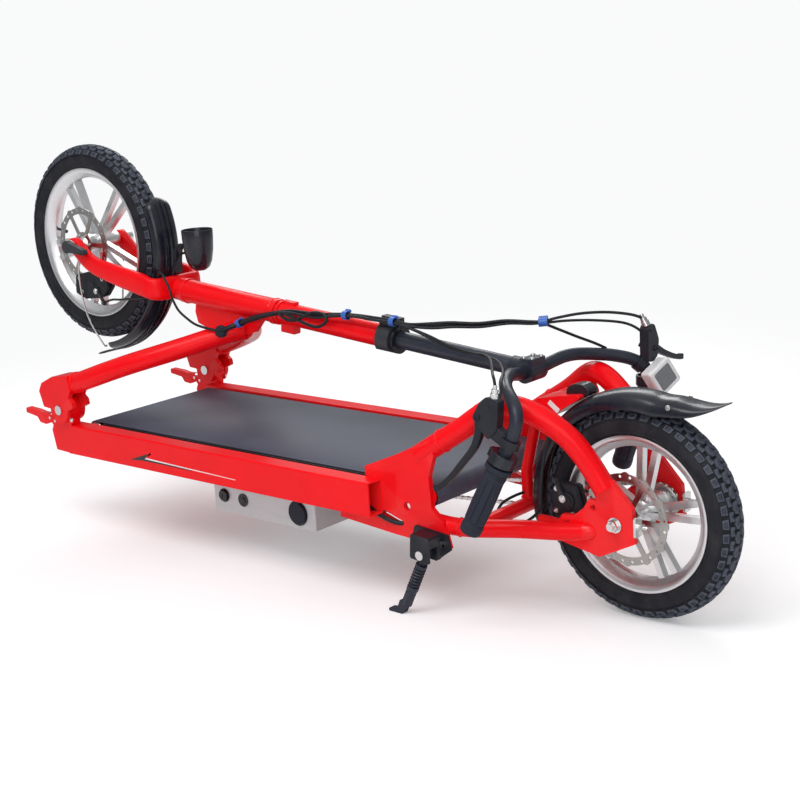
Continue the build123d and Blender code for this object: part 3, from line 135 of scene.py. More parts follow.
DUST = (0.32, 0.29, 0.26)
RED = (0.94, 0.003, 0.008)
MATS = {
    "red_paint": surface(
        "red_enamel", RED, 0.34, vary=0.05, scale=9, grain=420, bump=0.02, coat=0.12,
        wear=0.15, wear_colour=(0.95, 0.20, 0.18), spec=0.14),
    "bar_paint": surface(
        "satin_blue_black", (0.018, 0.022, 0.036), 0.38, vary=0.15, grain=1400, bump=0.12,
        coat=0.08, wear=0.3, wear_colour=(0.10, 0.11, 0.14), spec=0.35),
    "black_anodised": surface(
        "black_anodised", (0.010, 0.012, 0.018), 0.40, vary=0.2, grain=1600, bump=0.15,
        wear=0.5, wear_colour=(0.12, 0.12, 0.13), spec=0.3),
    "black_plastic": surface(
        "black_moulding", (0.010, 0.012, 0.020), 0.28, vary=0.15, scale=14, grain=1500,
        bump=0.05, coat=0.25, grime=0.05, spec=0.35),
    "grip_rubber": surface(
        "grip_rubber", (0.016, 0.020, 0.034), 0.60, vary=0.2, grain=2200, bump=0.4, spec=0.3),
    "tyre_rubber": surface(
        "tyre_rubber", (0.010, 0.011, 0.016), 0.66, vary=0.22, scale=30, grain=1500, bump=0.5,
        grime=0.06, wear=0.3, wear_colour=(0.07, 0.07, 0.08), spec=0.3),
    # Same rubber as the carcass: the tread's lighter blue-grey colour is painted sky light falling on
    # the tread tops.
    "tread_rubber_painted_sky_light": surface(
        "tread_rubber_painted_sky_light", (0.034, 0.040, 0.062), 0.55, vary=0.25, scale=60, grain=1300, bump=0.5,
        grime=0.10, wear=0.6, wear_colour=(0.16, 0.18, 0.22), spec=0.4),
    "cast_alloy": surface(
        "cast_alloy", (0.80, 0.80, 0.81), 0.34, metal=1.0, vary=0.06, scale=18, grain=1300,
        bump=0.10, rough_vary=0.08, grime=0.03),
    "disc_steel": surface(
        "disc_steel", (0.42, 0.41, 0.39), 0.32, metal=1.0, vary=0.08, scale=60, grain=500,
        bump=0.15, stretch=(1, 8, 1)),
    "plated_steel": surface(
        "zinc_plate", (0.72, 0.72, 0.71), 0.25, metal=1.0, vary=0.10, scale=90, grain=1800,
        bump=0.08, grime=0.08),
    "case_metal": surface(
        "case_sheet", (0.60, 0.61, 0.62), 0.42, metal=0.55, vary=0.07, scale=8, grain=900,
        bump=0.10, stretch=(1, 1, 10), grime=0.05, wear=0.3, wear_colour=(0.8, 0.8, 0.8)),
    "white_metal": surface(
        "white_gloss", (0.78, 0.78, 0.79), 0.30, vary=0.05, grain=1200, bump=0.05, coat=0.2),
    "bed_wood": surface(
        "laminate_board", (0.018, 0.018, 0.019), 0.55, vary=0.2, scale=12, grain=700, bump=0.2,
        stretch=(1, 14, 1)),
    "cell_wrap": surface(
        "cell_wrap", (0.02, 0.07, 0.26), 0.25, vary=0.10, scale=16, grain=300, bump=0.25),
    "cable": surface(
        "cable_sheath", (0.010, 0.012, 0.016), 0.42, vary=0.25, scale=80, grain=2500, bump=0.2,
        spec=0.35),
    "blue_tie": surface(
        "blue_tie", (0.035, 0.13, 0.50), 0.35, vary=0.12, scale=150, grain=2500, bump=0.2),
    "screen": surface(
        "lcd_grey", (0.16, 0.17, 0.18), 0.12, vary=0.12, scale=70, grain=400, bump=0.02, coat=1.0),
    "lens": surface(
        "lamp_lens", (0.62, 0.64, 0.66), 0.08, vary=0.05, scale=60, grain=240, bump=0.5,
        transmit=0.6, coat=0.6),
    "reflector_red": surface(
        "reflector_red", (0.55, 0.01, 0.01), 0.12, vary=0.1, scale=150, grain=500, bump=0.6,
        coat=1.0),
    "decal_white": surface(
        "decal_white", (0.86, 0.86, 0.86), 0.35, vary=0.04, grain=1500, bump=0.03),
    "decal_black": surface(
        "decal_black", (0.012, 0.012, 0.014), 0.35, vary=0.10, grain=1500, bump=0.03),
    "weld": surface(
        "painted_weld", RED, 0.36, vary=0.08, scale=40, grain=600, bump=0.3, coat=0.25, spec=0.28),
}


def belt_material():
    """Slate-grey belt cover: a fine diamond imprint, cloudy sheen and scuffs along its run."""
    mat = surface("belt_cover", (0.058, 0.069, 0.104), 0.52, vary=0.36, scale=5, grain=900, bump=0.25,
                  stretch=(0.55, 1.4, 1), grime=0.07, rough_vary=0.12, spec=0.4)
    tree = mat.node_tree
    shader = tree.nodes["Principled BSDF"]
    grain = shader.inputs["Normal"].links[0].from_socket
    coords = add_node(tree, "TexCoord")
    waves = []
    for turn in (45, -45):
        mapping = add_node(tree, "Mapping", {"Rotation": (0, 0, math.radians(turn)),
                                             "Vector": coords.outputs["Object"]})
        waves.append(add_node(tree, "TexWave", {"Scale": 160, "Vector": mapping.outputs[0]}))
    both = add_node(tree, "Math", {0: waves[0].outputs["Fac"], 1: waves[1].outputs["Fac"]},
                    operation="MAXIMUM")
    relief = add_node(tree, "Bump", {"Strength": 0.35, "Distance": 0.0005, "Height": both.outputs[0],
                                     "Normal": grain})
    wire(tree, shader, {"Normal": relief.outputs[0]})
    return mat


MATS["belt_rubber"] = belt_material()


# ------------------------------------------------------------------ mesh tools
def curve(points, per=6, closed=False):
    """Points along a smooth curve through the given ones, per steps from each to the next."""
    pts = [Vector(p) for p in points]
    count = len(pts)
    made = []
    for i in range(count if closed else count - 1):
        p1, p2 = pts[i], pts[(i + 1) % count]
        p0 = pts[i - 1] if closed or i > 0 else p1 * 2 - p2
        p3 = pts[(i + 2) % count] if closed or i + 2 < count else p2 * 2 - p1
        for k in range(per):
            t = k / per
            made.append(0.5 * ((2 * p1) + (p2 - p0) * t + (2 * p0 - 5 * p1 + 4 * p2 - p3) * t * t
                               + (3 * p1 - p0 - 3 * p2 + p3) * t * t * t))
    if not closed:
        made.append(pts[-1])
    return made


def place(origin, z_dir, x_dir=None):
    """Turns local (x, y, z) into design points: z along z_dir, x as near x_dir as it can be."""
    z = Vector(z_dir).normalized()
    x = Vector(x_dir) if x_dir is not None else z.orthogonal()
    x = (x - z * x.dot(z)).normalized()
    y = z.cross(x)
    start = Vector(origin)
    return lambda a, b, c: start + x * a + y * b + z * c


def side(u, v, w):
    """Local outline points drawn in X and Z, with depth along Y."""
    return Vector((u, w, v))


def circle(radius, sides, centre=(0, 0), start=0.0):
    return [(centre[0] + radius * math.cos(start + 2 * math.pi * k / sides),
             centre[1] + radius * math.sin(start + 2 * math.pi * k / sides)) for k in range(sides)]


def rounded(outline, radius, steps=3):
    """An outline with each corner turned into a short arc."""
    made = []
    count = len(outline)
    for i, corner in enumerate(outline):
        here = Vector(corner)
        back = Vector(outline[i - 1]) - here
        ahead = Vector(outline[(i + 1) % count]) - here
        reach = min(radius, back.length * 0.45, ahead.length * 0.45)
        a, b = here + back.normalized() * reach, here + ahead.normalized() * reach
        for k in range(steps + 1):
            t = k / steps
            made.append(tuple(a * (1 - t) ** 2 + here * 2 * t * (1 - t) + b * t * t))
    return made


class Shape:
    """Closed shells gathered in design millimetres, then made into one object."""

    def __init__(self):
        self.verts, self.faces = [], []

    def add(self, verts, faces):
        base = len(self.verts)
        self.verts += [Vector(v) for v in verts]
        self.faces += [[i + base for i in f] for f in faces]
        return self

    def loft(self, rings, closed=False):
        """Join rings of equal length; an open loft is capped at both ends."""
        n, count = len(rings[0]), len(rings)
        faces = []
        for i in range(count if closed else count - 1):
            a, b = i * n, (i + 1) % count * n
            for k in range(n):
                j = (k + 1) % n
                faces.append([a + k, a + j, b + j, b + k])
        if not closed:
            faces.append(list(range(n))[::-1])
            faces.append([(count - 1) * n + k for k in range(n)])
        return self.add([p for ring in rings for p in ring], faces)

    def tube(self, points, radius, sides=12, per=6, closed=False, flat=None):
        """A round tube along a smooth path. radius may be a function of the share along it."""
        path = curve(points, per, closed) if per else [Vector(p) for p in points]
        count = len(path)
        rings, x = [], None
        for i, here in enumerate(path):
            ahead = path[(i + 1) % count] if closed or i + 1 < count else here
            behind = path[i - 1] if closed or i else here
            z = (ahead - behind).normalized()
            x = z.orthogonal() if x is None else x - z * x.dot(z)
            if flat is not None:
                x = Vector(flat) - z * z.dot(Vector(flat))
            x.normalize()
            y = z.cross(x)
            r = radius(i / (count - 1)) if callable(radius) else radius
            wide, deep = r if isinstance(r, tuple) else (r, r)
            rings.append([here + x * wide * math.cos(2 * math.pi * k / sides)
                          + y * deep * math.sin(2 * math.pi * k / sides) for k in range(sides)])
        return self.loft(rings, closed)

    def lathe(self, profile, centre, axis, steps=48):
        """Turn a closed profile of (along, radius) about an axis."""
        at = place(centre, axis)
        rings = []
        for s in range(steps):
            turn = 2 * math.pi * s / steps
            rings.append([at(r * math.cos(turn), r * math.sin(turn), a) for a, r in profile])
        return self.loft(rings, closed=True)

    def prism(self, outline, low, high, at=side):
        return self.loft([[at(u, v, low) for u, v in outline], [at(u, v, high) for u, v in outline]])

    def ring(self, outer, inner, low, high, at=side):
        """A flat ring between two outlines of equal length."""
        corners = ((outer, low), (outer, high), (inner, high), (inner, low))
        return self.loft([[at(u, v, w) for u, v in line] for line, w in corners], closed=True)

    def bolt(self, origin, axis, radius, height, socket=True):
        """A cap screw with a round socket, or a plain hexagon head on a washer."""
        at = place(origin, axis)
        if socket:
            rim, tip, hole = circle(radius, 24), circle(radius * 0.88, 24), circle(radius * 0.5, 24)
            loops = [(rim, -1.0), (rim, height - radius * 0.18), (tip, height), (hole, height),
                     (hole, height * 0.4)]
        else:
            self.prism(circle(radius * 1.25, 24), -1.0, radius * 0.25, at)
            head, tip = circle(radius, 6), circle(radius * 0.88, 6)
            loops = [(head, radius * 0.25), (head, height - 0.5), (tip, height)]
        return self.loft([[at(u, v, z) for u, v in loop] for loop, z in loops])

    def make(self, name, body, mat, slot=None, replaces=(), bevel=0.0, angle=35, subdivide=0,
             segments=2):
        """Make the object on a body; given two of them as (from, to, start, end), it stays unattached
        where it is made.
        """
        mesh = bpy.data.meshes.new(name)
        mesh.from_pydata([to_m(v) for v in self.verts], [], self.faces)
        work = bmesh.new()
        work.from_mesh(mesh)
        bmesh.ops.remove_doubles(work, verts=work.verts, dist=1e-6)
        bmesh.ops.dissolve_degenerate(work, edges=work.edges, dist=1e-7)
        bmesh.ops.recalc_face_normals(work, faces=work.faces)
        work.to_mesh(mesh)
        work.free()
        mesh.polygons.foreach_set("use_smooth", [True] * len(mesh.polygons))
        mesh.set_sharp_from_angle(angle=math.radians(angle))
        mesh.materials.append(MATS[mat])
        obj = bpy.data.objects.new(name, mesh)
        scene.collection.objects.link(obj)
        if bevel:
            soften(obj, bevel, angle, segments)
        if subdivide:
            obj.modifiers.new("round", "SUBSURF").levels = subdivide
            obj.modifiers["round"].render_levels = subdivide
        if isinstance(body, tuple):
            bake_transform(obj)
        else:
            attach(obj, body)
        if replaces:
            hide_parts(*replaces)
        return obj


def soften(obj, width, angle=35, segments=2):
    """Round the sharp edges by a width in millimetres."""
    made = obj.modifiers.new("edge", "BEVEL")
    made.width = width * MM
    made.segments = segments
    made.limit_method = "ANGLE"
    made.angle_limit = math.radians(angle)
    made.harden_normals = False
    made.use_clamp_overlap = True
    return made


# ------------------------------------------------------------------ carried-over CAD nodes
# Edge widths in millimetres of the nodes that are shown with rounded edges.
CAD_BEVEL = {
    "rear_frame": 1.2, "deck_rails": 1.5, "front_frame": 1.2, "steering_column": 0.8,
    "column_clamp": 0.8, "bar_clamp": 0.8, "belly_case": 1.2, "kickstand_bracket": 0.8,
    "kickstand_leg": 0.8, "rear_rim": 0.9, "front_rim": 0.9, "left_clamp_lever": 0.8,
    "right_clamp_lever": 0.8, "qr_lever": 0.8, "drive_motor": 0.8, "chain_adjusters": 0.5,
    "rear_axle_nuts": 0.5,
}
# Nodes whose material is not the one their slot is named after.
CAD_LOOK = {"rear_caliper_arm": "black_anodised", "front_caliper_arm": "black_anodised",
            "key_switch": "black_plastic"}
slots = {part["node"]: part["material_slot"] for part in frame["record"]["subparts"]}
for node_name, node_obj in frame["nodes"].items():
    node_obj.data.materials.clear()
    node_obj.data.materials.append(MATS[CAD_LOOK.get(node_name, slots[node_name])])
    if node_name in CAD_BEVEL:
        weld_mod = node_obj.modifiers.new("weld", "WELD")
        weld_mod.merge_threshold = 0.00001
        soften(node_obj, CAD_BEVEL[node_name], angle=38)


# ------------------------------------------------------------------ tyres
WHEEL_STEPS = 144
WALL_LINES = ((6.5, 24.3), (28.5, 26.1))  # raised rings on the side walls: above the flange, across
TREAD_DEPTH = 4.6  # from the carcass crown to the tyre's full radius
# One half of a tread pitch: (outline in pitches along and millimetres across, height, has a pit).
TREAD_BLOCKS = (
    ([(-0.42, 1.2), (-0.10, 3.4), (0.10, 1.0), (0.40, 3.2), (0.36, 8.2), (0.10, 11.0),
      (-0.34, 9.2)], TREAD_DEPTH, False),
    ([(-0.30, 12.2), (0.02, 13.8), (0.30, 11.2), (0.34, 17.6), (-0.30, 18.2)], 4.4, False),
    ([(-0.34, 20.4), (0.35, 20.0), (0.31, 29.6), (-0.30, 29.8)], 3.0, True),
)
VALVE_TURN = math.radians(9)


def tyre_half(flange_r, crown_r):
    """Half of a tyre's outer section from crown to bead, as (across, radius) points."""
    middle = flange_r + 0.45 * (crown_r + 3 - flange_r)
    shape = [(0, crown_r), (9, crown_r - 1.2), (18, crown_r - 6), (24.4, crown_r - 14.5),
             (26.8, middle), (25.2, flange_r + 9), (21.0, flange_r + 1.5), (19.4, flange_r - 3)]
    return [(p.x, p.y) for p in curve([(u, v, 0) for u, v in shape], 5)]


def build_tyre(name, centre, flange_r, tyre_r, pitches, body, node):
    crown_r = tyre_r - TREAD_DEPTH
    half = tyre_half(flange_r, crown_r)
    inner = [(14.5, flange_r - 3), (15, flange_r + 6), (18, flange_r + 22), (0, crown_r - 6)]
    section = half + inner + [(-u, v) for u, v in inner[-2::-1] + half[:0:-1]]
    carcass = Shape().lathe(section, centre, Y_AXIS, steps=WHEEL_STEPS)
    for sign in (-1, 1):
        for rise, across in WALL_LINES:
            radius = flange_r + rise
            loop = [centre + Vector((radius * math.cos(a), sign * across, radius * math.sin(a)))
                    for a in (TAU * k / WHEEL_STEPS for k in range(WHEEL_STEPS))]
            carcass.tube(loop, 0.9, sides=6, per=0, closed=True)
    carcass.make(name + "_carcass", body, "tyre_rubber", replaces=(node,), angle=60)

    lengths = [0.0]
    for a, b in zip(half, half[1:]):
        lengths.append(lengths[-1] + math.dist(a, b))

    def on_skin(along, across, rise):
        """A point on the tread: along the rim in pitches, across it in millimetres of skin."""
        reach = abs(across)
        i = max(k for k in range(len(lengths) - 1) if lengths[k] <= reach)
        a, b = Vector(half[i]), Vector(half[i + 1])
        out = Vector(((b - a).y, -(b - a).x)).normalized()
        out = out if out.y > 0 or out.x > 0 else -out
        spot = a.lerp(b, (reach - lengths[i]) / (lengths[i + 1] - lengths[i])) + out * rise
        turn = TAU * along / pitches
        y = math.copysign(spot.x, across) if across else spot.x
        return centre + Vector((spot.y * math.cos(turn), y, spot.y * math.sin(turn)))

    tread = Shape()
    for k in range(pitches):
        for sign in (-1, 1):
            for row, (outline, height, pit) in enumerate(TREAD_BLOCKS):
                shift = k + (0.5 if sign > 0 else 0.0) + (0.5 if row == 1 else 0.0)
                mid_s = sum(s for s, _ in outline) / len(outline)
                mid_v = sum(v for _, v in outline) / len(outline)
                steps = [(1.06, -1.2), (1.0, height - 0.6), (0.92, height)]
                steps += [(0.52, height), (0.44, height - 1.4)] if pit else [(0.30, height + 0.05)]
                tread.loft([[on_skin(shift + mid_s + (s - mid_s) * shrink,
                                     sign * (mid_v + (v - mid_v) * shrink), rise)
                             for s, v in outline] for shrink, rise in steps])
    # The tread blocks get the lighter copy of the tyre rubber: painted sky light on the tread tops.
    tread.make(name + "_tread", body, "tread_rubber_painted_sky_light", "tyre_rubber", angle=28)

    valve = Shape()
    out = Vector((math.cos(VALVE_TURN), 0, math.sin(VALVE_TURN)))
    for high, low, radius, sides in ((22, 40, 3.0, 10), (39, 49, 4.2, 8)):
        valve.tube([centre + out * (flange_r - high), centre + out * (flange_r - low)], radius,
                   sides=sides, per=1)
    valve.make(name + "_valve", body, "black_plastic")


build_tyre("rear_tyre_shell", REAR_AXLE, 133.0, 181.0, 46, "rear_wheel", "rear_tyre")
build_tyre("front_tyre_shell", FRONT_AXLE, 158.5, 206.5, 47, "front_wheel", "front_tyre")


# ------------------------------------------------------------------ walking belt
ROLLERS_X, ROLLERS_Z = (318, 1218), 203.0
BELT_RUN_STEPS, BELT_WRAP_STEPS = 90, 24
# Across and out from the roller centres: a raised middle between two welded-on side bands.
BELT_SECTION = [(-158.8, 17.55), (158.8, 17.55), (160, 18.4), (160, 19.2), (158.8, 20.05),
                (157.0, 20.05), (156.6, 19.75), (155.6, 19.75), (155.2, 20.05), (-155.2, 20.05),
                (-155.6, 19.75), (-156.6, 19.75), (-157.0, 20.05), (-158.8, 20.05), (-160, 19.2),
                (-160, 18.4)]


def build_belt():
    rear_x, front_x = ROLLERS_X
    run = front_x - rear_x
    path = [(rear_x + run * k / BELT_RUN_STEPS, Vector((0, 0, 1))) for k in range(BELT_RUN_STEPS)]
    for k in range(BELT_WRAP_STEPS):
        a = math.pi / 2 - math.pi * k / BELT_WRAP_STEPS
        path.append((front_x, Vector((math.cos(a), 0, math.sin(a)))))
    path += [(front_x - run * k / BELT_RUN_STEPS, Vector((0, 0, -1))) for k in range(BELT_RUN_STEPS)]
    for k in range(BELT_WRAP_STEPS):
        a = -math.pi / 2 - math.pi * k / BELT_WRAP_STEPS
        path.append((rear_x, Vector((math.cos(a), 0, math.sin(a)))))
    rings = [[Vector((x, 0, ROLLERS_Z)) + out * r + Y_AXIS * y for y, r in BELT_SECTION]
             for x, out in path]
    Shape().loft(rings, closed=True).make("walking_belt_cover", "rear_chassis", "belt_rubber",
                                          replaces=("walking_belt",), angle=50)


build_belt()


# ------------------------------------------------------------------ fenders
REAR_FENDER_R, FRONT_FENDER_R = 207.0, 232.0


def fender_ring(crown, down, half, drop, thick=2.2, count=14):
    """One cross-section of a fender: rounded crown, turned-down lips, even thickness."""
    crown, down = Vector(crown), Vector(down).normalized()
    outer, inner = [], []
    for k in range(count + 1):
        t = -1 + 2 * k / count
        fall = drop * (abs(t) ** 2.6)
        across = math.sin(t * math.pi / 2)
        outer.append(crown + Y_AXIS * half * across + down * fall)
        inner.append(crown + Y_AXIS * (half - thick) * across
                     + down * (fall + thick * (1 - 0.6 * abs(t) ** 3)))
    return outer + inner[::-1]


def wheel_rings(centre, radius, low, high, half, drop, steps):
    rings = []
    for k in range(steps + 1):
        a = math.radians(low + (high - low) * k / steps)
        out = Vector((math.cos(a), 0, math.sin(a)))
        rings.append(fender_ring(centre + out * radius, -out, half, drop))
    return rings


rear = wheel_rings(REAR_AXLE, REAR_FENDER_R, -13, 104, 36.0, 29, 40)
# The flattened tail: crown x and z, lean of its lips, half width, depth of its lips.
for x, z, lean, half, drop in ((-70, 383, 0.16, 36, 27), (-88, 380, 0.05, 36, 23.5),
                               (-105, 377.5, -0.02, 34, 19), (-121, 376, -0.12, 30, 13),
                               (-135, 376.5, -0.25, 25, 8), (-147, 378.5, -0.32, 19, 5),
                               (-157, 381, -0.35, 12, 2.5), (-163, 383, -0.35, 8, 1.5),
                               (-166, 384, -0.35, 4, 1.0)):
    rear.append(fender_ring((x, 0, z), (lean, 0, -1), half, drop))
Shape().loft(rear).make("rear_fender_shell", "rear_chassis", "black_plastic",
                        replaces=("rear_fender",), angle=50, subdivide=1)
front = wheel_rings(FRONT_AXLE, FRONT_FENDER_R, 160, 262, 32.5, 17, 38)
for step, (half, drop) in enumerate(((31.5, 17), (29, 16), (24, 13), (15, 7), (5, 2))):
    a = math.radians(158.6 - 1.3 * step)
    out = Vector((math.cos(a), 0, math.sin(a)))
    tip = FRONT_AXLE + out * (FRONT_FENDER_R - 0.5 * step * step)
    front.insert(0, fender_ring(tip, -out, half, drop))
Shape().loft(front).make("front_fender_shell", "steering", "black_plastic",
                         replaces=("front_fender",), angle=50, subdivide=1)

ribs = Shape()
for low, radius, y in ((156, 233.8, 0), (158, 232.6, 12), (158, 232.6, -12)):
    ribs.tube([FRONT_AXLE + Vector((radius * math.cos(a), y, radius * math.sin(a)))
               for a in (math.radians(low + (260 - low) * k / 30) for k in range(31))],
              1.6, sides=8, per=0)
ribs.make("front_fender_ribs", "steering", "black_plastic")

fender_bolts = Shape()
for sign in (1, -1):
    fender_bolts.bolt((-74, sign * 34.8, 372.5), (0, sign, 0.15), 3.6, 2.6, socket=False)
fender_bolts.make("rear_fender_bolts", "rear_chassis", "plated_steel", bevel=0.3)

block = Shape()
block.prism(rounded([(88, 368), (89, 379), (100, 386), (118, 386), (132, 379), (135, 366),
                     (112, 362)], 5), -13, 13)
block.make("rear_fender_block", "rear_chassis", "black_plastic", bevel=1.2)

wedge = Shape()
wedge.prism(rounded([(98, 365), (101, 371), (140, 366), (188, 356), (180, 338), (154, 329),
                     (128, 347)], 3), -27, 27)
wedge.make("rear_fender_bracket", "rear_chassis", "red_paint", bevel=1.2)

flap_rings = []
for x, z, half in ((1317, 337, 27), (1328, 331, 29), (1340, 327, 31), (1352, 325, 31),
                   (1362, 325.5, 28)):
    flap_rings.append([Vector((x, -half, z + 1.5)), Vector((x, 0, z + 3.2)),
                       Vector((x, half, z + 1.5)), Vector((x + 1, half, z - 1.5)),
                       Vector((x + 1, 0, z + 0.2)), Vector((x + 1, -half, z - 1.5))])
Shape().loft(flap_rings).make("front_mud_flap", "steering", "grip_rubber",
                              subdivide=2)

stay = Shape()
for sign in (1, -1):
    stay.tube([(x, sign * y, z) for x, y, z in ((1345, 61, 540), (1352, 58, 480), (1350, 48, 410),
                                                (1322, 38, 352), (1318, 31, 347))], 1.9, sides=8)
stay.make("front_fender_stay", "steering", "plated_steel")


# ------------------------------------------------------------------ grips, handlebar, bar clamps
GRIP_START, GRIP_AXIS, GRIP_UP = (133.0, 200.0, 293.0), (0.4059, 0.1717, -0.8977), (0.911, 0, 0.412)
BAR_R = 11.1
FLUTED_END = 105  # the grip's fluted part; beyond it lies the end flange
# The left half of the bar from its clamp to the grip; (x, y, z).
HALF_BAR = [(212.8, 0, 397.06), (212.8, 18, 397.06), (212.4, 34, 397.4), (207, 56, 402),
            (199, 76, 406.5), (190, 95, 407.5), (181, 113, 405.5), (168, 131, 402.5),
            (150, 150, 398.5), (127, 169, 391), (110, 183, 379), (105.5, 189, 365),
            (108, 190.8, 350), (113.4, 191.8, 336), (122, 195.4, 317)]


def grip_place(sign, along=0.0):
    """Local points of the left (1) or right (-1) grip: z runs from its inner end outward."""
    x, y, z = (a + along * b for a, b in zip(GRIP_START, GRIP_AXIS))
    return place((x, sign * y, z), (GRIP_AXIS[0], sign * GRIP_AXIS[1], GRIP_AXIS[2]), GRIP_UP)


def build_grip(name, sign, body, node):
    at = grip_place(sign)
    # (along, radius, 1 where the eight flutes are cut)
    marks = [(1, 17.5, 0), (1.6, 20.6, 0), (3, 21, 0), (8, 21, 0), (9.2, 20.4, 0), (10, 17.2, 0),
             (12, 16.6, 0)]
    marks += [(13 + k * 1.8, 16.8 + (0.5 if k % 2 else -0.3), 0) for k in range(7)]
    marks += [(28 + k * 4.5, 16.0 + 0.9 * math.sin(math.pi * k / 17), 1) for k in range(18)]
    marks += [(107, 16.4, 0), (109, 17.6, 0), (111, 18.2, 0), (118, 18.4, 0), (122, 18.2, 0),
              (125.5, 17.6, 0), (127.4, 16.0, 0), (127.9, 12.0, 0)]
    sides = 96
    rings = []
    for z, radius, fluted in marks:
        radius += 1.8 if z < FLUTED_END else 0.0
        ring = []
        for k in range(sides):
            a = TAU * k / sides
            r = radius - (1.9 * max(0.0, math.cos(8 * a)) ** 4 if fluted else 0.0)
            ring.append(at(r * math.cos(a), r * math.sin(a), z))
        rings.append(ring)
    Shape().loft(rings).make(name, body, "grip_rubber", replaces=(node,), angle=40)


build_grip("left_grip_sleeve", 1, "handlebar_stem", "left_grip")
build_grip("throttle_grip_sleeve", -1, "throttle", "throttle_grip")

half_bar = curve(HALF_BAR, 6) + [grip_place(1)(0, 0, z) for z in (4, 40, 80, 120)]
bar = Shape().tube([Vector((p.x, -p.y, p.z)) for p in half_bar[:0:-1]] + half_bar, BAR_R,
                   sides=28, per=0)
bar.make("handlebar_tube", "handlebar_stem", "bar_paint", replaces=("handlebar",),
         angle=60)

end_clamps = Shape()
for sign in (1, -1):
    at = grip_place(sign, -14)
    end_clamps.prism(rounded(circle(23.0, 12), 5), -7, 12, at)
    end_clamps.prism(rounded([(8, -9), (27, -7), (27, 7), (8, 9)], 3), -5, 9, at)
    end_clamps.bolt(at(0, 20, 2), at(0, 30, 2) - at(0, 20, 2), 3.2, 2.4)
end_clamps.make("bar_end_clamps", "handlebar_stem", "black_plastic", bevel=0.8)


# ------------------------------------------------------------------ brake levers
def right_side(u, v, w):
    """Local outline points drawn in Y and Z, with depth along X."""
    return Vector((w, u, v))


def strip(shape, path, widths, low, high, at=side):
    """A bar of even depth whose outline follows a path with a half-width at each point."""
    line = curve([(u, v, 0) for u, v in path], 6)
    last = len(widths) - 1
    left, right = [], []
    for i, p in enumerate(line):
        d = (line[min(i + 1, len(line) - 1)] - line[max(i - 1, 0)]).normalized()
        t = i / (len(line) - 1) * last
        w = widths[int(t)] + (widths[min(int(t) + 1, last)] - widths[int(t)]) * (t - int(t))
        left.append((p.x - d.y * w, p.y + d.x * w))
        right.append((p.x + d.y * w, p.y - d.x * w))
    return shape.prism(left + right[::-1], low, high, at)


lever = Shape()
lever.prism(rounded(circle(9.5, 12, (172, 366)), 2), 189.4, 200.6)
strip(lever, [(173, 367), (174, 350), (178, 332), (189, 311), (214, 283), (238, 257), (262, 237),
              (276, 232)], [8.5, 7.8, 6.6, 5.6, 5.0, 4.8, 4.6, 5.4], 189.6, 200.4)
lever.make("left_brake_blade", "left_lever", "black_anodised",
           replaces=("left_brake_lever",), bevel=2.2, segments=3)

lever = Shape()
lever.prism(rounded(circle(9.0, 12, (-199, 406)), 2), 95.6, 106.4, right_side)
strip(lever, [(-199, 406), (-212, 403), (-236, 391), (-262, 380), (-284, 373), (-298, 371.5)],
      [8.0, 6.8, 5.2, 4.8, 4.5, 5.2], 95.8, 106.2, right_side)
lever.make("right_brake_blade", "right_lever", "black_anodised",
           replaces=("right_brake_lever",), bevel=2.2, segments=3)

perch = Shape()
cheek = rounded([(152, 403), (129, 398), (131, 372), (134, 350), (152, 332), (166, 346),
                 (183, 366), (166, 392)], 5)
for low, high in ((186.2, 189.0), (201.0, 203.8)):
    perch.prism(cheek, low, high)
perch.prism(rounded([(152, 403), (129, 398), (131, 372), (134, 350), (142, 341), (151, 352),
                     (149, 372), (158, 390)], 4), 188.5, 201.5)
perch.ring(circle(16.2, 36), circle(11.3, 36), -1, 13,
           place((114.6, 192, 334), (0.35, 0.16, -0.92), (0.9, 0, 0.4)))
perch.prism(rounded([(118, 344), (140, 358), (150, 336), (124, 322)], 3), 188, 202)
perch.bolt((172, 203.6, 366), (0, 1, 0), 5.2, 3.0)
perch.bolt((150, 203.6, 386), (0, 1, 0), 2.6, 1.6)
perch.make("left_brake_perch", "handlebar_stem", "black_anodised",
           replaces=("left_brake_body",), bevel=0.9)

perch = Shape()
cheek = rounded([(-176, 386), (-177, 444), (-186, 452), (-198, 449), (-211, 420), (-206, 392),
                 (-192, 384)], 5)
for low, high in ((92, 95.2), (106.8, 110)):
    perch.prism(cheek, low, high, right_side)
perch.prism(rounded([(-176, 386), (-177, 444), (-186, 452), (-194, 449), (-188, 420),
                     (-186, 396), (-184, 386)], 3), 94, 108, right_side)
perch.ring(circle(16.0, 36), circle(11.3, 36), -7, 7,
           place((112.5, -181, 381.5), (-0.54, -0.50, -0.68), (1, 0, 0)))
perch.bolt((91.9, -199, 406), (-1, 0, 0), 5.0, 3.0)
perch.bolt((91.9, -184, 440), (-1, 0, 0), 2.6, 1.6)
perch.make("right_brake_perch", "handlebar_stem", "black_anodised",
           replaces=("right_brake_body",), bevel=0.9)

adjusters = Shape()
for start, axis in (((141, 195, 402), (-0.1, 0, 1)), ((101, -184, 450), (0.45, 0.1, 1))):
    at = place(start, axis)
    adjusters.prism(circle(7.4, 14), -3, 7, at)
    adjusters.prism(circle(6.0, 18), 7, 13, at)
    adjusters.prism(circle(3.6, 16), 13, 20, at)
adjusters.make("brake_cable_adjusters", "handlebar_stem", "plated_steel",
               bevel=0.4)


# ------------------------------------------------------------------ display
DISPLAY_TURN = math.radians(45)
display_at = place((77, -187, 360), (-0.93, 0.32, 0.1), (0.3, 0.9, 0.25))


def diamond(u, v, w):
    c, s = math.cos(DISPLAY_TURN), math.sin(DISPLAY_TURN)
    return display_at(u * c - v * s, u * s + v * c, w)


def rect(half_u, half_v, radius):
    corners = [(-half_u, -half_v), (half_u, -half_v), (half_u, half_v), (-half_u, half_v)]
    return rounded(corners, radius, 5)


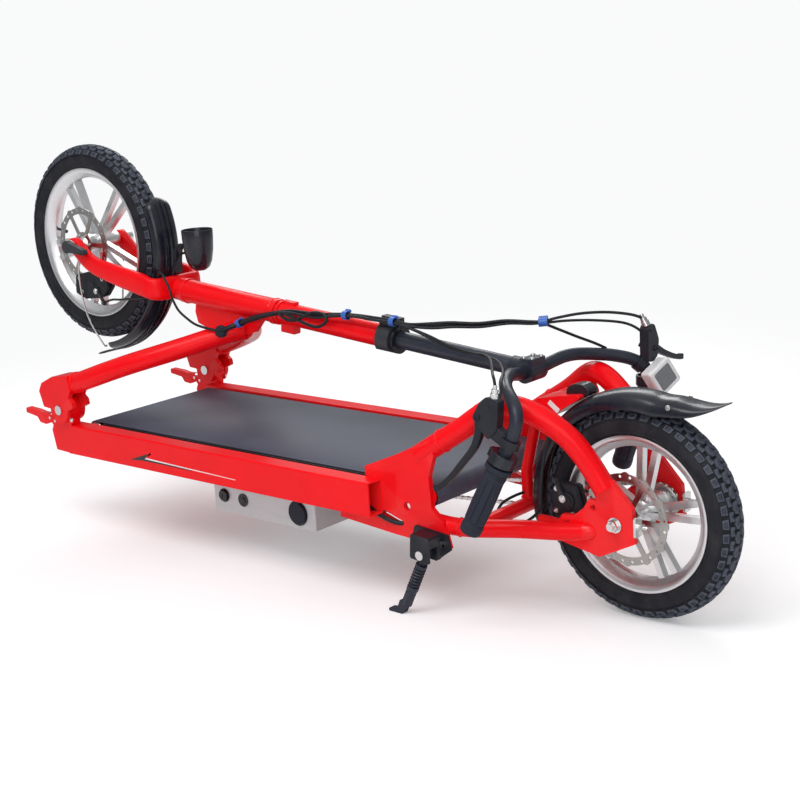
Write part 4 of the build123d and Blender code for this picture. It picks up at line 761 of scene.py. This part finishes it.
# The case from back to front, then in to the screen: (share of its outline, height).
CASE_STEPS = ((0.84, -13), (0.96, -11), (0.97, 1.0), (0.98, 3.0), (1.0, 5.0), (1.0, 11.5),
              (0.96, 14.6), (0.92, 15.6), (0.72, 15.6), (0.70, 14.4))
case = Shape().loft([[diamond(u * s, v * s, w) for u, v in rect(26, 25, 6)] for s, w in CASE_STEPS])
case.make("display_bezel", "handlebar_stem", "white_metal", replaces=("display",),
          angle=30)
panel = Shape().loft([[diamond(u, v, w) for u, v in rect(18.6, 17.8, 2)] for w in (13.6, 15.2)])
panel.make("display_screen", "handlebar_stem", "screen", "white_metal", bevel=0.3)
mount = Shape()
mount.prism(rounded([(-13, 3), (13, 3), (13, 25), (-13, 25)], 4), -26, 0.4, display_at)
mount.ring(circle(15.5, 32), circle(11.3, 32), -9, 9,
           place((110.8, -190.6, 350), (-0.06, 0.04, 1.0), (1, 0, 0)))
mount.make("display_mount", "handlebar_stem", "black_plastic", bevel=1.0)
keys = Shape()
for u in (-9, 0, 9):
    keys.bolt(diamond(-23.6, u, 8), diamond(-30, u, 8) - diamond(-23.6, u, 8), 2.6, 1.6)
keys.make("display_keys", "handlebar_stem", "reflector_red", "white_metal")


# ------------------------------------------------------------------ fork
FORK_Y = 61  # of each leg's middle
# From a leg's root round to the crown's middle: (x, y, low z, high z).
CROWN_STATIONS = ((1117, 59.5, 466.0, 510), (1110.5, 54.5, 464.0, 508.5), (1106.5, 46, 463, 508),
                  (1105, 35, 462.5, 508), (1104.5, 22, 462, 508), (1104.5, 10, 462, 508))


def build_fork():
    """Two tapered legs and the crown as one rounded casting, with dropout eyes and a crown race."""
    upper = curve([(1096, 0, 506), (1150, 0, 520), (1210, 0, 530), (1290, 0, 546), (1336, 0, 580)], 8)
    lower = curve([(1100, 0, 462), (1155, 0, 474), (1232, 0, 491), (1308, 0, 514), (1362, 0, 554)], 8)
    stations = [((a + b) / 2 + Y_AXIS * FORK_Y, (a - b) / 2) for a, b in zip(upper, lower)][::-1][:-5]
    for x, y, low, high in CROWN_STATIONS:
        stations.append((Vector((x, y, (low + high) / 2)), Vector((0.0, 0.0, (high - low) / 2))))
    stations += [(Vector((c.x, -c.y, c.z)), h) for c, h in stations[::-1]]
    rings = []
    for i, (centre, half) in enumerate(stations):
        run = stations[min(i + 1, len(stations) - 1)][0] - stations[max(i - 1, 0)][0]
        out = Vector((-run.y, run.x, 0)).normalized()
        ring = []
        for k in range(40):
            c, v = math.cos(math.pi * k / 20), math.sin(math.pi * k / 20)
            ring.append(centre + out * 10 * math.copysign(abs(c) ** 0.62, c)
                        + half * math.copysign(abs(v) ** 0.62, v))
        rings.append(ring)
    made = Shape().loft(rings)
    for sign in (1, -1):
        made.lathe([(-9.8, 0.3), (-9.8, 14), (-6.5, 17), (6.5, 17), (9.8, 14), (9.8, 0.3)],
                   FRONT_AXLE + Y_AXIS * FORK_Y * sign, Y_AXIS, 48)
    made.lathe([(-34, 0.3), (-34, 11), (-28, 19), (-22, 23.2), (-1.0, 23.2), (-1.0, 14), (300, 14),
                (300, 0.3)], HEAD_LOW, STEER_Z, 48)
    made.make("fork_casting", "steering", "red_paint", replaces=("fork",), angle=50)


build_fork()


# ------------------------------------------------------------------ headlamp
LAMP_BACK = (1030, 0, 521)
LAMP_STEPS = 64
outer = [(0, 0.4), (1.5, 12), (8, 20), (20, 25.5), (42, 29.4), (66, 31.2), (82, 31.6), (83.5, 31.0),
         (83.5, 29.8)]
inner = [(78, 28.8), (62, 27.8), (40, 24.6), (20, 18), (10, 0.4)]
Shape().lathe(outer + inner, LAMP_BACK, (0, 0, 1), LAMP_STEPS).make(
    "headlamp_shell", "steering", "black_plastic", replaces=("headlamp",), angle=40)
Shape().lathe([(70, 0.3), (71, 16), (70, 27.6), (73, 27.8), (75.5, 16), (76.5, 0.3)], LAMP_BACK,
              (0, 0, 1), LAMP_STEPS).make("headlamp_lens", "steering", "lens", "white_metal", angle=40)
Shape().lathe([(69, 26.6), (52, 22.5), (40, 16), (34, 0.4), (32, 0.4), (38, 17.6), (51, 24.2),
               (69, 27.8)], LAMP_BACK, (0, 0, 1), LAMP_STEPS).make(
    "headlamp_reflector", "steering", "plated_steel", angle=60)
arm = Shape()
strip(arm, [(1057, 568), (1080, 570), (1092, 560), (1097, 540), (1101, 514)], [4, 4, 4, 4, 5], -9, 9)
arm.tube([(1057, 0, 556), (1084, 0, 552), (1094, 6, 534), (1100, 14, 512)], 2.6, sides=10)
arm.bolt((1072, 9, 569), (0, 1, 0), 5.5, 4, socket=False)
arm.bolt((1100, 9, 520), (0, 1, 0), 4.5, 3.5, socket=False)
arm.make("headlamp_stalk", "steering", "black_anodised", bevel=0.8)


# ------------------------------------------------------------------ calipers
FINS, FIN_PITCH, FIN_THICK = 5, 1.7, 0.8


def build_caliper(name, outline, rotor_y, outer_y, pivot, pins, body, node, bridge_shift):
    """Two cheeks on either side of the rotor, a bridge over its edge, cooling fins and a cap."""
    cx = sum(p[0] for p in outline) / len(outline)
    cz = sum(p[1] for p in outline) / len(outline)

    def scaled(share, shift=(0, 0)):
        return [(cx + (u - cx) * share + shift[0], cz + (v - cz) * share + shift[1])
                for u, v in outline]

    made = Shape()
    made.prism(rounded(outline, 5), rotor_y + 2.3, outer_y - 0.4)
    made.prism(rounded(outline, 5), rotor_y - 11.0, rotor_y - 2.3)
    made.prism(rounded(scaled(0.42, bridge_shift), 4), rotor_y - 10, outer_y - 1)
    made.prism(circle(15, 24, (cx, cz)), rotor_y + 2.5, outer_y + 2.6)
    made.prism(circle(10, 24, (cx, cz)), rotor_y + 2.5, outer_y + 4.2)
    for k in range(FINS):
        low = rotor_y + 3.4 + k * FIN_PITCH
        made.prism(rounded(scaled(1.03), 5), low, low + FIN_THICK)
    made.prism(circle(8.5, 20, pivot), outer_y - 1, outer_y + 0.7)
    made.make(name, body, "black_anodised", replaces=(node,), bevel=0.7)
    bolts = Shape()
    for u, v in pins:
        bolts.bolt((u, outer_y - 0.6, v), (0, 1, 0), 4.4, 4.2)
    bolts.bolt((pivot[0], outer_y + 6.0, pivot[1]), (0, 1, 0), 5.0, 3.0, socket=False)
    bolts.make(name + "_bolts", body, "plated_steel", bevel=0.3)


build_caliper("rear_caliper_castings",
              [(86, 207), (90, 225), (128, 226), (140, 206), (134, 172), (92, 168), (80, 188)],
              48.0, 60.0, (112, 203), ((96, 178), (126, 218), (128, 180)), "rear_chassis",
              "rear_caliper", (10, 4))
build_caliper("front_caliper_castings",
              [(1372, 500), (1378, 462), (1344, 451), (1292, 457), (1270, 480), (1276, 508),
               (1330, 509)],
              40.0, 49.0, (1306, 470), ((1286, 496), (1356, 466), (1362, 494)), "steering",
              "front_caliper", (-14, -14))


# ------------------------------------------------------------------ chain
MOTOR_SHAFT = Vector((545, 0, 128))
WHEEL_PITCH_R, MOTOR_PITCH_R = 30.0, 16.0
CHAIN_PITCH, CHAIN_Y = 12.7, -60


def around(centre, radius, turn):
    return centre + Vector((math.cos(turn), 0, math.sin(turn))) * radius


def build_chain():
    """Links spaced evenly along the two wraps and the two straight runs between the sprockets."""
    run = MOTOR_SHAFT - REAR_AXLE
    lean = math.atan2(run.z, run.x)
    wrap = math.acos((WHEEL_PITCH_R - MOTOR_PITCH_R) / run.length)
    dense = [around(MOTOR_SHAFT, MOTOR_PITCH_R, lean - wrap + 2 * wrap * k / 30) for k in range(31)]
    dense += [around(REAR_AXLE, WHEEL_PITCH_R, lean + wrap + (TAU - 2 * wrap) * k / 40)
              for k in range(41)]
    dense.append(dense[0])
    runs = [0.0]
    for a, b in zip(dense, dense[1:]):
        runs.append(runs[-1] + (b - a).length)
    count = round(runs[-1] / CHAIN_PITCH / 2) * 2
    pins, i = [], 0
    for k in range(count):
        want = runs[-1] * k / count
        while runs[i + 1] < want:
            i += 1
        pins.append(dense[i].lerp(dense[i + 1], (want - runs[i]) / (runs[i + 1] - runs[i])))
    plates, rollers = Shape(), Shape()
    for k, here in enumerate(pins):
        there = pins[(k + 1) % count]
        d = (there - here).normalized()
        n = Vector((-d.z, 0, d.x))
        outline = []
        for pin, start, waist in ((here, math.pi / 2, -2.4), (there, -math.pi / 2, 2.4)):
            for t in range(5):
                a = start + math.pi * t / 4
                outline.append(pin + (d * math.cos(a) + n * math.sin(a)) * 3.4)
            outline.append(here.lerp(there, 0.5) + n * waist)
        flat_line = [(p.x, p.z) for p in outline]
        gap = 2.6 if k % 2 else 1.7
        for sign in (1, -1):
            low, high = sorted((CHAIN_Y + sign * gap, CHAIN_Y + sign * (gap + 0.8)))
            plates.prism(flat_line, low, high)
        rollers.prism(circle(2.2, 10, (here.x, here.z)), CHAIN_Y - 3.6, CHAIN_Y + 3.6)
    plates.make("chain_plates", "rear_chassis", "plated_steel",
                replaces=("drive_chain",))
    rollers.make("chain_rollers", "rear_chassis", "plated_steel")


def build_sprocket(name, centre, pitch_r, teeth, bore_r, body, node):
    outline = []
    for k in range(teeth):
        for share, rise in ((0.0, -3.4), (0.22, -2.6), (0.40, 1.4), (0.60, 1.4), (0.78, -2.6)):
            a = TAU * (k + share) / teeth
            r = pitch_r + rise
            outline.append((centre.x + r * math.cos(a), centre.z + r * math.sin(a)))
    inner = circle(bore_r, len(outline), (centre.x, centre.z))
    made = Shape().ring(outline, inner, CHAIN_Y - 1.2, CHAIN_Y + 1.2)
    made.make(name, body, "plated_steel", replaces=(node,), bevel=0.3)


build_chain()
build_sprocket("wheel_sprocket_teeth", REAR_AXLE, WHEEL_PITCH_R, 15, 17.05, "rear_wheel",
               "wheel_sprocket")


# ------------------------------------------------------------------ kickstand spring
SPRING_TURNS, SPRING_STEPS, SPRING_R = 9, 150, 9.2
spring_top, spring_foot = Vector((311, 199.3, 93)), Vector((333, 203.0, 45))
spring_run = spring_foot - spring_top
at = place(spring_top, spring_run, (0, 1, 0))
coil = []
for k in range(SPRING_STEPS + 1):
    a = TAU * SPRING_TURNS * k / SPRING_STEPS
    coil.append(at(SPRING_R * math.cos(a), SPRING_R * math.sin(a),
                   spring_run.length * k / SPRING_STEPS))
Shape().tube(coil, 1.5, sides=6, per=1).make("kickstand_spring", "kickstand", "bar_paint")
collars = Shape()
for a, b, r in ((0.0, 0.10, 10.4), (0.86, 1.02, 10.6)):
    collars.tube([spring_top.lerp(spring_foot, a), spring_top.lerp(spring_foot, b)], r, sides=20,
                 per=1)
collars.make("kickstand_collars", "kickstand", "bar_paint", bevel=1.2)


# ------------------------------------------------------------------ cables, hoses and ties
def run_cables(name, body, runs):
    """One object of cables on one body, from (radius, steps between points, points) each."""
    cables = Shape()
    for radius, per, points in runs:
        cables.tube(points, radius, sides=10, per=per)
    return cables.make(name, body, "cable", "black_plastic")


# From the frame's grommet along the column to its clamp, with a spare loop on the way.
run_cables("column_cables", ("front_chassis", "steering", (932, 54, 416), (892, 32, 430)), (
    (3.0, 5, [(932, 54, 416), (919, 50, 421), (906, 41, 427), (892, 32, 432), (860, 30, 443),
              (830, 29, 451), (790, 28, 459), (753, 27, 464), (716, 28, 464), (680, 29, 463),
              (645, 28, 466), (610, 27, 468), (575, 26, 468), (545, 26, 467), (515, 26, 466),
              (488, 26, 464)]),
    (2.6, 5, [(930, 51, 413), (917, 46, 417), (904, 37, 422), (891, 28, 427), (858, 26, 438),
              (826, 26, 447), (790, 24, 455), (752, 24, 460), (714, 24, 462), (676, 25, 460),
              (640, 24, 463), (606, 22, 464), (572, 21, 463), (545, 21, 462), (515, 21, 461),
              (488, 22, 460)]),
    (3.0, 5, [(931, 57, 414), (918, 54, 418), (905, 46, 424), (891, 36, 429), (858, 34, 441),
              (826, 33, 450), (788, 32, 458), (750, 32, 461), (712, 33, 459), (678, 33, 458),
              (642, 32, 463), (606, 31, 466), (572, 30, 466), (545, 30, 464), (515, 30, 463),
              (488, 30, 461)]),
    (3.1, 6, [(770, 31, 459), (738, 36, 453), (706, 38, 445), (678, 38, 441), (658, 37, 448),
              (652, 35, 458), (664, 33, 466), (690, 33, 466), (716, 36, 456), (740, 37, 448),
              (764, 35, 450), (780, 32, 458)]),
))
# From the column's clamp to the bar: three to the right grip, two to the left.
run_cables("bar_cables", ("steering", "handlebar_stem", (480, 28, 462), (300, 28, 462)), (
    (2.6, 6, [(488, 26, 464), (462, 20, 460), (425, 8, 462), (390, -6, 464), (340, -20, 464),
              (290, -34, 470), (245, -44, 470), (221, -50, 471), (205, -70, 475),
              (180, -105, 478), (150, -140, 476), (120, -168, 469), (104, -182, 460),
              (101, -184, 455)]),
    (2.4, 6, [(488, 22, 460), (455, 14, 456), (420, 2, 457), (384, -10, 460), (336, -25, 461),
              (288, -38, 467), (245, -47, 467), (221, -52, 468), (196, -84, 468),
              (165, -122, 464), (132, -158, 456), (112, -174, 444), (104, -180, 430),
              (112, -178, 412)]),
    (2.6, 6, [(488, 30, 461), (456, 24, 457), (418, 12, 455), (382, -4, 457), (334, -20, 458),
              (286, -35, 465), (245, -45, 466), (221, -50, 467), (206, -78, 452),
              (190, -106, 436), (172, -130, 422), (158, -145, 411)]),
    (2.6, 6, [(488, 30, 462), (462, 28, 456), (430, 27, 447), (391, 26, 433), (347, 26, 424),
              (302, 30, 423), (272, 45, 425), (236, 80, 427), (203, 120, 429), (175, 155, 432),
              (152, 183, 434), (141, 194, 428), (139, 195, 416)]),
    (2.3, 6, [(488, 26, 460), (450, 26, 453), (408, 27, 443), (366, 29, 431), (327, 29, 424),
              (282, 36, 422), (240, 60, 424), (200, 98, 426), (170, 134, 425), (150, 164, 421),
              (138, 182, 412), (136, 189, 398)]),
))


def tie(shape, centre, axis, radius, wide):
    """A flat band round the cables with its small square lock on one side."""
    at = place(centre, axis)
    low, high = -wide / 2, wide / 2
    shape.ring(circle(radius, 20), circle(radius - 1.6, 20), low, high, at)
    lock = [(-3, radius - 1), (3, radius - 1), (3, radius + 4), (-3, radius + 4)]
    shape.prism(rounded(lock, 1), low, high, at)


for name, body, bands in (
        ("column_cable_ties", "steering", (((894, 32, 429.5), (-1, 0, 0.35), 8.5, 11),
                                           ((610, 27, 466), (-1, 0, 0), 8.5, 11))),
        ("bar_cable_tie", "handlebar_stem", (((221, -50.7, 469.5), (-1, -0.5, 0.1), 7.5, 16),)),
        ("clamp_cable_tie", "steering", (((496, 26.5, 463), (-1, 0, 0), 8.5, 11),))):
    ties = Shape()
    for band in bands:
        tie(ties, *band)
    ties.make(name, body, "blue_tie", "black_plastic", bevel=0.4)

grommet = Shape().lathe([(-6, 0.4), (-6, 11), (0, 12.5), (5, 11.5), (8, 8), (8, 0.4)],
                        (929, 50, 414), (-0.25, 0.9, 0.3), 32)
grommet.make("frame_grommet", "front_chassis", "grip_rubber")

run_cables("front_brake_hose_low", ("front_chassis", "steering", (945, 62, 420), (1040, 68, 465)), (
    (2.5, 6, [(931, 56, 417), (949, 63, 420), (983, 66, 426), (1009, 66, 437), (1031, 67, 452),
              (1045, 68, 474)]),
))
run_cables("front_brake_hose", "steering", (
    (2.5, 6, [(1045, 68, 474), (1050, 69, 494), (1060, 68, 510), (1078, 60, 520), (1096, 52, 522),
              (1108, 46, 514)]),
    (2.4, 6, [(1284, 52, 446), (1268, 54, 452), (1240, 62, 458), (1205, 72, 462), (1172, 74, 466),
              (1150, 66, 466), (1132, 50, 468), (1112, 40, 474)]),
))

rear_hose = Shape()
rear_hose.tube([(112, 72, 330), (125, 72, 314), (135, 72, 293), (142, 72, 268), (147, 72, 241),
                (150, 72, 214), (152, 72, 188)], 2.8, sides=10)
rear_hose.tube([(152, 72, 188), (154, 75, 178), (166, 79, 165), (188, 80, 151), (214, 80, 142),
                (233, 80, 147), (240, 78, 161), (237, 66, 176), (232, 40, 182), (230, 14, 182)],
               2.6, sides=10)
rear_hose.tube([(152, 72, 196), (152, 72, 182)], 4.2, sides=14, per=1)  # ferrule
rear_hose.make("rear_brake_hose", "rear_chassis", "cable", "black_plastic")
rail_cable = Shape().tube([(470, 169, 176), (448, 177, 171), (430, 180, 162), (412, 180, 156),
                           (392, 178, 150), (374, 172, 147), (360, 160, 146)], 4.2, sides=12)
rail_cable.make("gusset_cable", "rear_chassis", "cable", "black_plastic")


# ------------------------------------------------------------------ rail stripes, label plate
RAIL_Y = 211.0  # of the rails' outer faces
STRIPE_SINK, STRIPE_RISE = 0.1, 0.35
STRIPES = (
    ("rail_stripe_white", "decal_white", "white_metal",
     [(982, 198), (989, 197), (998, 186.5), (936, 184.6), (746, 180.0), (746, 179.0),
      (936, 182.4), (1004, 183.6)]),
    ("rail_stripe_black", "decal_black", "black_plastic",
     [(1049, 177), (990, 196.5), (1005, 183.4), (936, 182.2), (867, 179.9), (867, 178.6),
      (936, 179.8), (1012, 179.4)]),
)
for name, mat, slot, outline in STRIPES:
    stripe = Shape()
    for sign in (1, -1):
        low, high = sorted((sign * (RAIL_Y - STRIPE_SINK), sign * (RAIL_Y + STRIPE_RISE)))
        stripe.prism(outline, low, high)
    stripe.make(name, "rear_chassis", mat, slot)
plate = Shape()
plate.prism(rounded([(-12, -4.5), (12, -4.5), (12, 4.5), (-12, 4.5)], 1.5), -0.6, 0.6,
            place((150.0, 27, 347.0), (0, 1, 0), (0.8, 0, 0.6)))
plate.make("rear_bracket_plate", "rear_chassis", "decal_white", "white_metal")


# ------------------------------------------------------------------ welds and tube ends
def weld_ring(shape, centre, axis, radius, bead=1.5):
    """A rippled bead round a tube."""
    n = 72
    loop = [place(centre, axis)(*point, 0) for point in circle(radius, n)]
    rings = []
    for i, here in enumerate(loop):
        z = (loop[(i + 1) % n] - loop[i - 1]).normalized()
        out = (here - Vector(centre)).normalized()
        up = z.cross(out)
        r = bead * (1.0 + 0.22 * math.sin(i * TAU / 3))
        rings.append([here + (out * math.cos(a) + up * math.sin(a)) * r
                      for a in (TAU * k / 8 for k in range(8))])
    shape.loft(rings, closed=True)


rear_welds = Shape()
for sign in (1, -1):
    weld_ring(rear_welds, (284, sign * 157, 303), (-0.86, -sign * 0.1, 0.5), 19.2)
    weld_ring(rear_welds, (262, sign * 150, 153), (-1, -sign * 0.25, 0), 15.6)
weld_ring(rear_welds, (232, 0, 170), (0, 0, 1), 10.2)
for sign in (1, -1):  # domes that close the lower tubes behind the dropouts
    rear_welds.lathe([(-6, 0.3), (-6, 15.4), (1, 15.4), (8, 14.0), (15, 10.5), (20, 6), (22, 0.3)],
                     (56, sign * 77, 160), (-0.93, -sign * 0.36, 0.06), 40)
rear_welds.make("rear_frame_welds", "rear_chassis", "weld", "red_paint")
front_welds = Shape()
for sign in (1, -1):
    weld_ring(front_welds, (1206, sign * 199.2, 314.5), (-0.95, 0, 0.3), 20.6)
for along in (14, 261):  # the head tube's two ends
    weld_ring(front_welds, tuple(HEAD_LOW + STEER_Z * along), STEER_Z, 24.4, 1.4)
front_welds.make("front_frame_welds", "front_chassis", "weld", "red_paint")


# ------------------------------------------------------------------ small fasteners
screws = Shape()
for x in (608, 700, 766, 858):
    for sign in (1, -1):
        screws.bolt((x, sign * 160, 152), (0, sign, 0), 3.4, 2.0)
for sign in (1, -1):
    screws.bolt((1225, sign * 211, 236), (0, sign, 0), 5, 3)
screws.make("case_screws", "rear_chassis", "plated_steel", bevel=0.3)
bezels = Shape()
for centre, outer_r, inner_r, high in (((640, 118), 24, 21.5, 161.2), ((838, 122), 13.5, 11.3, 161.6),
                                       ((786, 120), 13.0, 6.6, 161.6)):
    bezels.ring(circle(outer_r, 48, centre), circle(inner_r, 48, centre), 159.5, high)
bezels.make("case_bezels", "rear_chassis", "black_plastic", bevel=0.3)
clamp_bolts = Shape()
for along in (551, 572):
    clamp_bolts.bolt(steer(30, -9, along), (0, -1, 0), 4.5, 4)
clamp_bolts.make("column_clamp_bolts", "steering", "plated_steel", bevel=0.3)
bar_bolts = Shape()
for y in (-13, 13):
    for x in (201, 218):
        bar_bolts.bolt((x, y, 419.6), (0, 0, 1), 4.0, 3.4)
bar_bolts.make("bar_clamp_bolts", "handlebar_stem", "plated_steel", bevel=0.3)
for name, body, centre, face_y in (("rear_rotor_bolts", "rear_wheel", REAR_AXLE, 48.9),
                                   ("front_rotor_bolts", "front_wheel", FRONT_AXLE, 40.9)):
    rotor_bolts = Shape()
    for u, v in circle(21.5, 6, (centre.x, centre.z)):
        rotor_bolts.bolt((u, face_y, v), (0, 1, 0), 2.8, 2.2)
    rotor_bolts.make(name, body, "plated_steel", bevel=0.2)


# ------------------------------------------------------------------ stage, light and camera
FLOOR_HALF, FLOOR_Z = 30, -ORIGIN.z * MM
BACKDROP = (0.955, 0.958, 0.965)
# Fitted to the photo, in metres from the ground under the rear axle.
CAMERA_AT = Vector((-1.323, 2.054, 0.984))
AZIMUTH, ELEVATION, ROLL = math.radians(221.82), math.radians(13.73), math.radians(-3.69)
LENS, SENSOR = 69.75, 36.0


def floor_material():
    """Pale floor that fades into the backdrop's own colour away from the subject."""
    mat = surface("pale_floor", (0.90, 0.90, 0.91), 0.9, vary=0.01, scale=2, grain=200, bump=0.01,
                  spec=0.05)
    tree = mat.node_tree
    shader = tree.nodes["Principled BSDF"]
    seen = add_node(tree, "LightPath").outputs["Is Camera Ray"]
    lit = add_node(tree, "Math", {0: seen, 1: 0.22}, operation="MULTIPLY")
    wire(tree, shader, {"Emission Color": (1, 1, 1, 1), "Emission Strength": lit.outputs[0]})
    spot = add_node(tree, "NewGeometry")
    reach = add_node(tree, "VectorMath", {0: spot.outputs["Position"]}, operation="LENGTH")
    fade = add_node(tree, "MapRange", {"From Min": 1.0, "From Max": 2.6,
                                       "Value": reach.outputs["Value"]},
                    interpolation_type="SMOOTHSTEP")
    glow = add_node(tree, "Emission", {"Color": (*BACKDROP, 1)})
    both = add_node(tree, "MixShader")
    far = add_node(tree, "Math", {0: fade.outputs[0], 1: seen}, operation="MULTIPLY")
    wire(tree, both, {"Fac": far.outputs[0], 1: shader.outputs[0], 2: glow.outputs[0]})
    wire(tree, tree.nodes["Material Output"], {"Surface": both.outputs[0]})
    return mat


def build_floor():
    corners = [(-1, -1), (1, -1), (1, 1), (-1, 1)]
    mesh = bpy.data.meshes.new("floor")
    mesh.from_pydata([(u * FLOOR_HALF, v * FLOOR_HALF, FLOOR_Z) for u, v in corners], [],
                     [(0, 1, 2, 3)])
    mesh.materials.append(floor_material())
    obj = bpy.data.objects.new("floor", mesh)
    scene.collection.objects.link(obj)


def build_world():
    """A soft grey-to-white sky for the light; the camera itself sees the plain backdrop."""
    world = bpy.data.worlds.new("studio")
    scene.world = world
    world.use_nodes = True
    tree = world.node_tree
    coords = add_node(tree, "TexCoord")
    split = add_node(tree, "SeparateXYZ", {0: coords.outputs["Generated"]})
    ramp = add_node(tree, "ValToRGB")
    steps = ramp.color_ramp.elements
    steps[0].position, steps[1].position = 0.44, 0.95
    steps[0].color, steps[1].color = (0.16, 0.16, 0.17, 1), (1.0, 1.0, 1.0, 1)
    steps.new(0.62).color = (0.42, 0.43, 0.45, 1)
    lift = add_node(tree, "MapRange", {"From Min": -1.0, "Value": split.outputs["Z"]})
    wire(tree, ramp, {"Fac": lift.outputs[0]})
    sky = tree.nodes["Background"]
    wire(tree, sky, {"Strength": 0.62, "Color": ramp.outputs["Color"]})
    seen = add_node(tree, "Background", {"Color": (*BACKDROP, 1)})
    ray = add_node(tree, "LightPath")
    choose = add_node(tree, "MixShader", {"Fac": ray.outputs["Is Camera Ray"], 1: sky.outputs[0],
                                          2: seen.outputs[0]})
    wire(tree, tree.nodes["World Output"], {"Surface": choose.outputs[0]})


def softbox(name, location, target, size, power):
    data = bpy.data.lights.new(name, "AREA")
    data.shape = "RECTANGLE"
    data.size, data.size_y = size
    data.energy = power
    obj = bpy.data.objects.new(name, data)
    obj.location = location
    obj.rotation_mode = "QUATERNION"
    obj.rotation_quaternion = (Vector(target) - Vector(location)).to_track_quat("-Z", "Y")
    scene.collection.objects.link(obj)


def build_camera():
    back = Vector((math.sin(AZIMUTH) * math.cos(ELEVATION), -math.cos(AZIMUTH) * math.cos(ELEVATION),
                   math.sin(ELEVATION)))
    right = (-back).cross(Vector((0, 0, 1))).normalized()
    up = right.cross(-back)
    right_rolled = right * math.cos(ROLL) + up * math.sin(ROLL)
    up_rolled = -right * math.sin(ROLL) + up * math.cos(ROLL)
    data = bpy.data.cameras.new("camera")
    data.lens = LENS
    data.sensor_width = SENSOR
    data.clip_end = 100
    camera = bpy.data.objects.new("camera", data)
    turn = Matrix((right_rolled, up_rolled, back)).transposed().to_4x4()
    camera.matrix_world = Matrix.Translation(CAMERA_AT - ORIGIN * MM) @ turn
    scene.collection.objects.link(camera)
    scene.camera = camera


build_floor()
build_world()
softbox("key", (-0.6, 1.6, 2.6), (0, 0, 0.1), (2.2, 1.5), 44)
softbox("fill", (-2.0, 2.2, 1.1), (0, 0, 0.1), (1.8, 1.6), 18)
softbox("rim", (1.4, -1.9, 1.8), (0, 0, 0.2), (2.2, 1.0), 26)
build_camera()
scene.view_settings.view_transform = "Standard"
scene.view_settings.look = "None"
